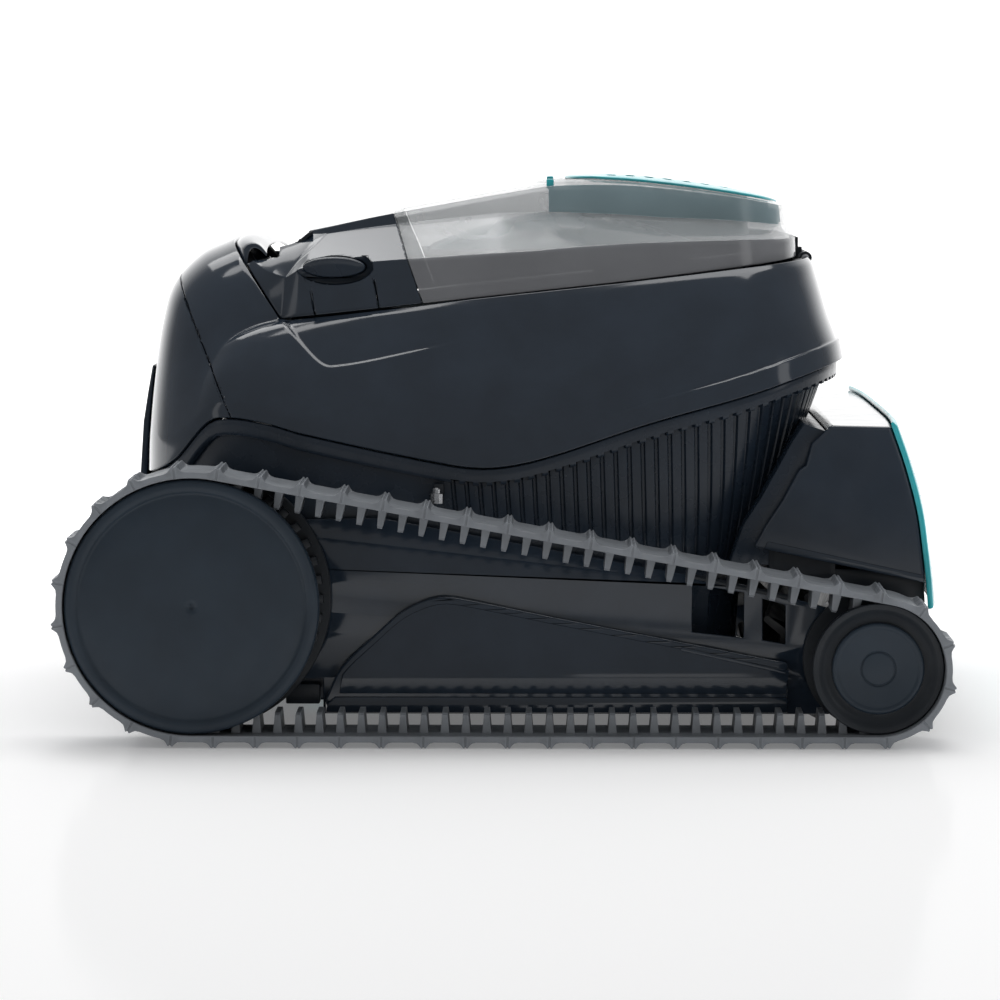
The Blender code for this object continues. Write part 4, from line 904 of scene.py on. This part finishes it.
def make_throat():
    """The clear duct under the grille, with its flange."""
    profile = [
        (0.0398, 0.256), (0.0404, 0.248), (0.0407, 0.242), (0.042, 0.2375), (0.0455, 0.2347),
        (0.0555, 0.2316), (0.0562, 0.2305), (0.0555, 0.2296), (0.045, 0.2318), (0.04, 0.2352),
        (0.0387, 0.24), (0.0382, 0.256),
    ]
    throat = lathe("outlet_duct", profile, (PUMP_X, 0), 0, TEAL_CLEAR, 96, 60)
    settle(throat, "lid", "clear_teal", "outlet_throat")


def make_roof_tabs():
    """The two small tabs behind the grille."""
    for name, side in SIDES.items():
        y = side * 0.07
        low, high = (0.0196, y - 0.004, 0.262), (0.0232, y + 0.004, 0.2668)
        tab = box(f"roof_tab_{name}", low, high, TURQUOISE, 0.0006)
        settle(tab, "lid", "turquoise_plastic")


ARCH_LINE = [(-0.04, 0.232), (-0.029, 0.2365), (-0.005, 0.244), (0.019, 0.249), (0.042, 0.249),
             (0.066, 0.245), (0.091, 0.237), (0.1, 0.2325)]
ARCH_HALF = 0.064


def make_arch():
    """The clear hump inside the lid, over the pump's intake, with a dark rib across it."""
    top = line_through(ARCH_LINE)
    low, xs = 0.2318, np.linspace(ARCH_LINE[0][0], ARCH_LINE[-1][0], 60)
    across = np.linspace(-1, 1, 49)
    sheets = []
    for inset in (0.0, 0.0014):
        y = across * (ARCH_HALF - inset)
        sheet = []
        for x in xs:
            height = (top(x) - low - inset) * np.clip(1 - np.abs(across) ** 6, 0, 1) ** 0.5
            sheet.append(np.column_stack([np.full(len(y), x), y, low + np.maximum(height, 0.0)]))
        sheets.append(np.array(sheet))
    outer, inner = sheets
    arch = capped("intake_hump", np.concatenate([outer, inner[:, ::-1]], axis=1), TEAL_HUMP, 50)
    settle(arch, "lid", "clear_teal")
    rear, front = 0.0, 0.0155
    under = inner[(xs > rear) & (xs < front)]
    strip = np.concatenate([under - (0, 0, 0.0008), (under - (0, 0, 0.0024))[:, ::-1]], axis=1)
    settle(capped("hump_rib", strip, DARK), "lid", "dark_plastic")


def make_seal():
    """The dark seal that the lid closes on, open at the hinge."""
    shares = np.linspace(0.055, 0.945, 220)
    corner = plan_ring(*SEAM_PLAN, shares=shares)[:, 0]
    edges = []
    for inset, drop in ((0.0026, 0.0008), (0.0026, 0.003), (0.007, 0.003), (0.007, 0.0016)):
        edges.append(np.column_stack([plan_ring(*inset_by(SEAM_PLAN, inset), shares), seam_z(corner) - drop]))
    seal = capped("lid_seal", np.array(edges).transpose(1, 0, 2), BLACK_RUBBER)
    settle(seal, "chassis", "dark_plastic")


def make_buttons():
    for name, side in SIDES.items():
        outer, inner = 0.1128, 0.102
        face = [
            (1, inner), (1, outer - 0.0016), (0.985, outer - 0.0009), (0.95, outer - 0.0003), (0.9, outer),
            (0.8, outer - 0.0002), (0.6, outer - 0.0007), (0.3, outer - 0.0009),
        ]
        rows = []
        for size, depth in face:
            points = oval(BUTTON_SIZE[0] * (1 - (1 - size) * 0.5), BUTTON_SIZE[1] * size, BUTTON, 64)
            rows.append([(x, side * depth, z) for x, z in points])
        button = capped(f"release_button_{name}", rows, NAVY)
        settle(button, f"latch_{name}", "dark_plastic", f"latch_button_{name}")


# ---------- running gear

def track_line():
    """Places along the middle of the belt, counter-clockwise from the lower rear, and its length."""
    dx, dz = IDLER_X - DRIVE_X, IDLER_Z - DRIVE_Z
    span, drop = math.hypot(dx, dz), DRIVE_RADIUS - IDLER_RADIUS
    run = math.sqrt(span**2 - drop**2)
    top = math.pi / 2 + math.atan2(dz, dx) - math.asin(drop / span)
    idler_arc, drive_arc = IDLER_RADIUS * (top + math.pi / 2), DRIVE_RADIUS * (1.5 * math.pi - top)
    total = 2 * run + idler_arc + drive_arc

    def at(distance, offset):
        """(x, z) at distances along the belt, offset outwards. It takes arrays."""
        s = distance % total
        round_idler = -math.pi / 2 + (s - run) / IDLER_RADIUS
        round_drive = top + (s - 2 * run - idler_arc) / DRIVE_RADIUS
        where = [s < run, s < run + idler_arc, s < 2 * run + idler_arc]
        angle = np.select(where, [-math.pi / 2, round_idler, top], round_drive)
        along = np.select(where, [s, 0, -(s - run - idler_arc)], 0)
        centre_x = np.select(where, [DRIVE_X, IDLER_X, IDLER_X], DRIVE_X)
        centre_z = np.select(where, [DRIVE_Z, IDLER_Z, IDLER_Z], DRIVE_Z)
        radius = np.select(where, [DRIVE_RADIUS, IDLER_RADIUS, IDLER_RADIUS], DRIVE_RADIUS) + offset
        forward = along * np.where(s < run, 1.0, math.sin(top))
        down = along * np.where(s < run, 0.0, -math.cos(top))
        return centre_x + radius * np.cos(angle) + forward, centre_z + radius * np.sin(angle) + down

    return at, total


def lug_height(u, end):
    """Height of a cross ridge, u from its middle: twin tips, and wide hollow flanks towards its ends."""
    tips = 1 - 0.2 * np.clip(1 - (u / 0.0006) ** 2, 0, 1)
    slim = np.clip((0.0021 - u) / 0.001, 0, 1) ** 1.3
    wide = np.clip((0.0056 - u) / 0.0045, 0, 1) ** 2.3
    return LUG_HEIGHT * tips * (wide * end + slim * (1 - end))


def tooth_height(u):
    return np.clip((0.0021 - u) / 0.0008, 0, 1)


def belt_distances(pitch):
    """Where the belt's cross sections stand along it: close together at its lugs and teeth."""
    at_lug = [
        0, 0.0003, 0.0006, 0.0011, 0.0014, 0.0018, 0.0021, 0.0026, 0.0032, 0.004, 0.0048, 0.0056, 0.0068,
    ]
    at_tooth = [0, 0.0006, 0.0013, 0.0016, 0.0021]
    places = {s * d for d in at_lug for s in (1, -1)} | {pitch / 2 + s * d for d in at_tooth for s in (1, -1)}
    return np.concatenate([(i + 0.5) * pitch + np.array(sorted(places)) for i in range(LUG_COUNT)])


def belt_columns(distance, pitch):
    """(distance in from the belt's outer edge, height over its middle) once round its section, and the depth
    of the notch at each lug's end."""
    from_lug = np.abs((distance / pitch) % 1 - 0.5) * pitch
    from_tooth = np.abs(((distance + pitch / 4) / (pitch / 2)) % 1 - 0.5) * pitch / 2
    width, face, edge = TRACK_OUT - TRACK_IN, BELT / 2, 0.00035
    dished = 0.00045 * smoothstep(0.0037, 0.009, from_lug)
    columns = []
    for across in [edge, 0.0022, 0.0034, 0.012, 0.0128, 0.0132, 0.014, 0.0144, 0.0152, 0.0258, 0.0266, 0.027,
                   0.0278, 0.0282, 0.029, 0.0376, 0.0388, width - edge]:
        end = 1.0 if min(across, width - across) < 0.003 else 0.0
        standing = any(a <= across <= b for a, b in ((0, 0.0128), (0.0144, 0.0266), (0.0282, width)))
        height = lug_height(from_lug, end) if standing else 0.0
        inset = 0.0003 if across in (edge, width - edge) else 0.0
        hollow = dished if 0.003 < across < width - 0.003 else 0.0
        columns.append((across, face + height - hollow - inset * (from_lug < 0.0037)))
    chamfer = np.full(len(distance), face - 0.0004)
    columns += [(width, chamfer), (width, -chamfer)]
    for across in [width - 0.0004, 0.0362, 0.036, 0.0345, 0.025, 0.0235, 0.0135, 0.012, 0.0118, 0.0004]:
        short = 0.9 if across in (0.012, 0.036) else 1.0
        toothed = TOOTH_HEIGHT * tooth_height(from_tooth) * short if 0.012 <= across <= 0.036 else 0.0
        columns.append((across, -face - toothed))
    return columns + [(0.0, -chamfer), (0.0, chamfer)], 0.0004 * (from_lug < 0.0004)


def make_track(name, side):
    at, total = track_line()
    pitch = total / LUG_COUNT
    distance = belt_distances(pitch)
    columns, tick = belt_columns(distance, pitch)
    rows = []
    for across, offset in columns:
        x, z = at(distance, offset)
        edge = TRACK_OUT - across - (tick if across == 0.0 else 0.0)
        rows.append(np.column_stack([x, np.full(len(x), side) * edge, z]))
    track = torus(f"belt_{name}", np.array(rows), RUBBER, 28)
    settle(track, "chassis", "grey_rubber", f"track_{name}")


def cog_ring(part, name, side, y_in, y_out, inner, root, tip):
    """A flat ring with square teeth round its outside, on a drive wheel."""
    centre, teeth, steps = (DRIVE_X, DRIVE_Z), 40, 96
    outline = []
    for i in range(teeth):
        for share, radius in ((-0.3, root), (-0.22, tip), (0.22, tip), (0.3, root)):
            outline.append(point_round(centre, radius, math.tau * (i + share) / teeth))
    hole = [point_round(centre, inner, math.tau * i / steps) for i in range(steps)]
    ring = plate(f"{part}_{name}", [outline, hole], *span(side, y_in, y_out), DARK, 0.0004, 2)
    settle(ring, f"wheel_{name}", "dark_plastic")


def make_drive_wheel(name, side):
    centre = (DRIVE_X, DRIVE_Z)
    wheel_in, disc_in, face = 0.1545, 0.1911, 0.1995
    deep = disc_in - GAP
    profile = [
        (0.0636, 0.158), (0.064, 0.1576), (0.064, wheel_in + 0.0004), (0.0636, wheel_in),
        (0.0445, wheel_in), (0.0445, deep - 0.005), (0.011, deep - 0.005), (0.011, wheel_in + 0.015),
        (0.0054, wheel_in + 0.015), (0.0054, deep), (0.048, deep), (0.0485, deep - 0.0005),
        (0.0485, 0.164), (0.0488, 0.1582),
    ]
    wheel = lathe(f"sprocket_wheel_{name}", profile, centre, side, DARK)
    settle(wheel, f"wheel_{name}", "dark_plastic", f"drive_wheel_{name}")
    cog_ring("sprocket_cogs", name, side, 0.1578, 0.1634, 0.047, 0.0525, 0.0604)
    cog_ring("drum_ribs", name, side, 0.1885, 0.1906, 0.047, 0.05, 0.059)
    disc = [
        (0, disc_in), (0.059, disc_in), (0.0603, disc_in + 0.0012), (0.0603, face - 0.0024),
        (0.0601, face - 0.0014), (0.0594, face - 0.0005), (0.0583, face), (0.0552, face - 0.0001),
        (0.0545, face - 0.0006), (0.054, face - 0.0013), (0.0534, face - 0.0017), (0.0526, face - 0.0015),
        (0.045, face - 0.0012), (0.025, face - 0.001), (0.004, face - 0.0009), (0.0016, face - 0.001),
        (0.001, face - 0.0017), (0.0004, face - 0.002), (0, face - 0.002),
    ]
    cover = lathe(f"wheel_cover_{name}", disc, centre, side, DISC, 160, 50)
    settle(cover, f"wheel_{name}", "navy_plastic", f"drive_disc_{name}")


def make_idler(name, side):
    centre = (IDLER_X, IDLER_Z)
    wheel_in, rim_in, rim_out = 0.1545, 0.1895, 0.1935
    profile = [
        (0.0306, rim_out), (0.031, rim_out - 0.0004), (0.031, rim_in), (0.0306, rim_in - 0.0003),
        (0.0195, rim_in - 0.0003), (0.0195, wheel_in + 0.003), (0.0332, wheel_in + 0.003),
        (0.0335, wheel_in + 0.0027), (0.0335, wheel_in), (0.0044, wheel_in), (0.0044, rim_in + 0.0005),
        (0.0224, rim_in + 0.0005), (0.0232, rim_in + 0.0006), (0.025, rim_in + 0.0012),
        (0.0268, rim_in + 0.0024), (0.028, rim_in + 0.0036), (0.0286, rim_out),
    ]
    wheel = lathe(f"front_wheel_{name}", profile, centre, side, DARK, 160, 40)
    settle(wheel, f"idler_{name}", "dark_plastic", f"idler_wheel_{name}")
    base = rim_in + 0.0009
    cap = [
        (0, base), (0.0212, base), (0.0218, base + 0.0006), (0.0218, base + 0.0018), (0.0214, base + 0.0025),
        (0.0206, base + 0.0029), (0.0194, base + 0.0029), (0.0189, base + 0.0024), (0.0184, base + 0.0023),
        (0.009, base + 0.0024), (0.0085, base + 0.0023), (0.0082, base + 0.0018), (0.0079, base + 0.0018),
        (0.0076, base + 0.0023), (0.007, base + 0.0024), (0, base + 0.0025),
    ]
    hub = lathe(f"front_hub_{name}", cap, centre, side, DISC, 160, 50)
    settle(hub, f"idler_{name}", "navy_plastic", f"idler_cap_{name}")


def arc(centre, radius, start, end, count):
    return [point_round(centre, radius, math.radians(a)) for a in np.linspace(start, end, count)]


FENDER = [
    (0.136, 0.0356), (0.1007, 0.0425), (0.0258, 0.0571), (-0.021, 0.0665), (-0.03, 0.0674),
    (-0.0384, 0.0657), (-0.05, 0.06), (-0.062, 0.0496), (-0.0792, 0.033), (-0.0867, 0.018),
    (-0.0867, 0.0112),
]


def make_side_panel(name, side):
    idler_end = arc((IDLER_X, IDLER_Z), 0.015, -75, 90, 16)
    drive_end = arc((DRIVE_X, DRIVE_Z), 0.036, 90, 218, 16)
    outline = [
        (-0.088, 0.01), (0.156, 0.01), *idler_end, (0.154, 0.062), (0.118, 0.072),
        (-0.06, 0.105), *drive_end, (-0.104, 0.027), (-0.088, 0.027),
    ]
    windows = [
        [(0.09, 0.05), (0.115, 0.047), (0.115, 0.069), (0.09, 0.073)],
        [(0.124, 0.046), (0.135, 0.044), (0.135, 0.063), (0.124, 0.066)],
    ]

    def layer(part, outlines, y_in, y_out, width=0.0006, finish=GLOSS, segments=2):
        made = plate(f"{part}_{name}", outlines, *span(side, y_in, y_out), finish, width, segments)
        return settle(made, "chassis", "gloss_shell")

    panel = layer("chassis_side", [outline, *windows], 0.146, 0.15)
    bore = [(0, 0.13), (0.0055, 0.13), (0.0055, 0.16), (0, 0.16)]
    cut(panel, lathe("pinion_bore", bore, PINION, side, None, 32))
    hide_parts(f"side_panel_{name}")
    skirt = smooth_line(FENDER[:-1], 60)
    layer("skirt", [[*skirt, FENDER[-1], (0.136, 0.0112)]], 0.1495, 0.1548, 0.0012, segments=3)
    inner = [(x + 0.0006, z - 0.0034) for x, z in skirt[:-4]]
    layer("skirt_face", [[*inner, (-0.08, 0.0205), (0.1352, 0.0205)]], 0.154, 0.1554, 0.0006)
    ledge = [(0.136, 0.0112), (0.136, 0.019), (-0.082, 0.019), (-0.086, 0.016), (-0.0867, 0.0112)]
    layer("skirt_ledge", [ledge], 0.154, 0.1562, 0.001)
    rib = [(0.0843, 0.0415), (0.1352, 0.03), (0.1352, 0.0318), (0.085, 0.0434)]
    layer("skirt_rib", [rib], 0.155, 0.156, 0.0005)
    rod = [(0.087, 0.0766), (0.14, 0.065), (0.1405, 0.0672), (0.088, 0.0788)]
    layer("upper_rail", [rod], 0.1495, 0.153, 0.0009, DARK)
    block = [(-0.106, 0.015), (-0.0895, 0.015), (-0.0895, 0.0245), (-0.106, 0.0245)]
    layer("rear_block", [block], 0.144, 0.152, 0.0008, DARK)
    y = side * 0.148
    peg = box(f"waist_peg_{name}", (-0.0345, y - 0.002, 0.115), (-0.0295, y + 0.002, 0.1215), DARK, 0.0008)
    settle(peg, "chassis", "dark_plastic")


def make_brush():
    """Rubber blades along the roller, laid in a slight spiral."""
    blades, half, core, lean = 8, 0.134, 0.0124, 0.9
    centre = (BRUSH_X, BRUSH_Z)
    flank = [(0.4, 0.018), (0.13, 0.0196), (0.07, 0.03), (0.03, 0.031)]
    blade = [*((-share, radius) for share, radius in flank), *flank[::-1]]
    sections = []
    for y in np.linspace(-half, half, 45):
        ring = []
        for i in range(blades):
            for share, radius in blade:
                x, z = point_round(centre, radius, math.tau * (i + share) / blades + lean * abs(y) / half)
                ring.append((x, y, z))
        sections.append(ring)
    steps = blades * len(blade)
    bore = [point_round(centre, core, math.tau * i / steps) for i in range(steps)]
    sections += [[(x, y, z) for x, z in bore] for y in (half, -half)]
    sleeve = torus("brush_blades", np.array(sections), BLACK_RUBBER, 35)
    settle(sleeve, "brush", "grey_rubber", "brush_sleeve")


# ---------- CAD pieces that show as they are

FINISHES = {
    "gloss_shell": GLOSS, "navy_plastic": NAVY, "dark_plastic": DARK, "grey_rubber": RUBBER,
    "turquoise_plastic": TURQUOISE, "clear_teal": TEAL_CLEAR, "smoky_clear": SMOKE, "steel": STEEL,
    "fine_mesh": MESH, "battery_wrap": WRAP,
}


def finish_carried_nodes():
    for node in frame["nodes"].values():
        if node.hide_render:
            continue
        slot_name = node.data.materials[0].name.split(".")[0]
        node.data.materials.clear()
        node.data.materials.append(FINISHES[slot_name])
        shade(node.data, 30)
        edges = node.modifiers.new("edges", "BEVEL")
        edges.width, edges.segments, edges.limit_method = 0.0003, 2, "ANGLE"
        edges.angle_limit = math.radians(40)


# ---------- stage

FLOOR_HALF = 30.0
FLOOR_GLOW = 0.16                                # near the machine; far behind it the floor glows white
FLOOR_DARK, FLOOR_WHITE = (0.04, 0.04, 0.04), (0.93, 0.93, 0.935)
WORLD_FRONT, WORLD_BACK = 0.34, 1.5               # its brightness
WORLD_TILT, WORLD_RAMP = 0.2, (0.55, 0.97)       # dim to bright along Y, and along Z by the tilt
CAMERA_PLACE, CAMERA_AIM = (0.021, -2.2, 0.29), (-0.002, -0.2, 0.118)
LENS, SENSOR = 154, 36                           # mm
# Area lights: place, aim, (width, height), watts
LIGHTS = {
    "top_strip": ((-0.45, 0.76, 1.47), (-0.45, -0.1, 0.24), (0.8, 0.55), 4.4),
    "overhead": ((0.2, 0.3, 2.2), (0.1, 0.0, 0.0), (1.6, 1.0), 20),
    "front_right": ((1.5, -1.1, 0.75), (0, 0, 0.15), (0.35, 0.9), 1.5),
    "front_left": ((-1.6, -1.3, 0.6), (0, 0, 0.12), (0.25, 0.9), 0.6),
    "softbox": ((0.75, -3.4, 0.1), (0, 0, 0.15), (1.3, 0.5), 1.6),
}


def floor_material():
    """Matt white with a faint reflection, dark behind the camera so that the shell doesn't mirror it."""
    made = Nodes(bpy.data.materials.new("floor_white"))
    shader = made.shader
    split = made.new("ShaderNodeSeparateXYZ")
    made.link(made.place, split.inputs["Vector"])
    ahead = made.spread(split.outputs["Y"], 0, 1, -1.15, -0.85)
    made.link(made.blend(ahead, FLOOR_DARK, FLOOR_WHITE), shader.inputs["Base Color"])
    shader.inputs["Roughness"].default_value = 0.9
    shader.inputs["Specular IOR Level"].default_value = 0.0
    shader.inputs["Emission Color"].default_value = (1, 1, 1, 1)
    glow = made.spread(split.outputs["Y"], FLOOR_GLOW, 1.0, 0.2, 1.1)
    made.link(glow, shader.inputs["Emission Strength"])
    gloss = made.new("ShaderNodeBsdfGlossy", Roughness=0.12)
    mix = made.new("ShaderNodeMixShader", Fac=0.05)
    made.link(shader.outputs["BSDF"], mix.inputs[1])
    made.link(gloss.outputs["BSDF"], mix.inputs[2])
    made.link(mix.outputs["Shader"], made.tree.nodes["Material Output"].inputs["Surface"])
    return made.owner


def make_floor():
    bm = bmesh.new()
    bmesh.ops.create_grid(bm, x_segments=1, y_segments=1, size=FLOOR_HALF)
    floor = added("floor", mesh_from("floor", bm))
    floor.data.materials.append(floor_material())


def make_world():
    """White straight behind the machine, and dim all round."""
    world = bpy.data.worlds.new("studio")
    bpy.context.scene.world = world
    made = Nodes(world, "Background", "Generated")
    split = made.new("ShaderNodeSeparateXYZ")
    made.link(made.place, split.inputs["Vector"])
    tilted = made.new("ShaderNodeMath", operation="MULTIPLY_ADD")
    tilted.inputs[1].default_value = WORLD_TILT
    made.link(split.outputs["Z"], tilted.inputs[0])
    made.link(split.outputs["Y"], tilted.inputs[2])
    strength = made.spread(tilted.outputs["Value"], WORLD_FRONT, WORLD_BACK, *WORLD_RAMP,
                           interpolation_type="SMOOTHSTEP")
    made.link(strength, made.shader.inputs["Strength"])
    made.shader.inputs["Color"].default_value = (1, 1, 1, 1)


def aimed(obj, place, aim):
    """Puts a light or a camera in its place, facing a point."""
    obj.location = place
    obj.rotation_euler = (Vector(aim) - obj.location).to_track_quat("-Z", "Y").to_euler()
    return obj


def area_light(name, place, aim, size, power):
    light = bpy.data.lights.new(name, "AREA")
    light.shape, light.size, light.size_y = "RECTANGLE", *size
    light.energy = power
    aimed(added(name, light), place, aim)


def make_camera():
    camera = bpy.data.cameras.new("camera")
    camera.lens, camera.sensor_width = LENS, SENSOR
    bpy.context.scene.camera = aimed(added("camera", camera), CAMERA_PLACE, CAMERA_AIM)


def make_stage():
    bpy.context.scene.view_settings.view_transform = "Standard"
    make_floor()
    make_world()
    make_camera()
    for name, settings in LIGHTS.items():
        area_light(name, *settings)


def make_machine():
    for make in (make_housing, make_band, make_body_wall, make_rear_panel, make_bumper, make_bumper_fillers,
                 make_handle, make_lid_frame, make_lid_window, make_grille, make_throat, make_roof_tabs,
                 make_arch, make_seal, make_buttons, make_brush):
        make()
    for name, side in SIDES.items():
        make_track(name, side)
        make_drive_wheel(name, side)
        make_idler(name, side)
        make_side_panel(name, side)
    finish_carried_nodes()


make_machine()
make_stage()
bpy.context.view_layer.update()
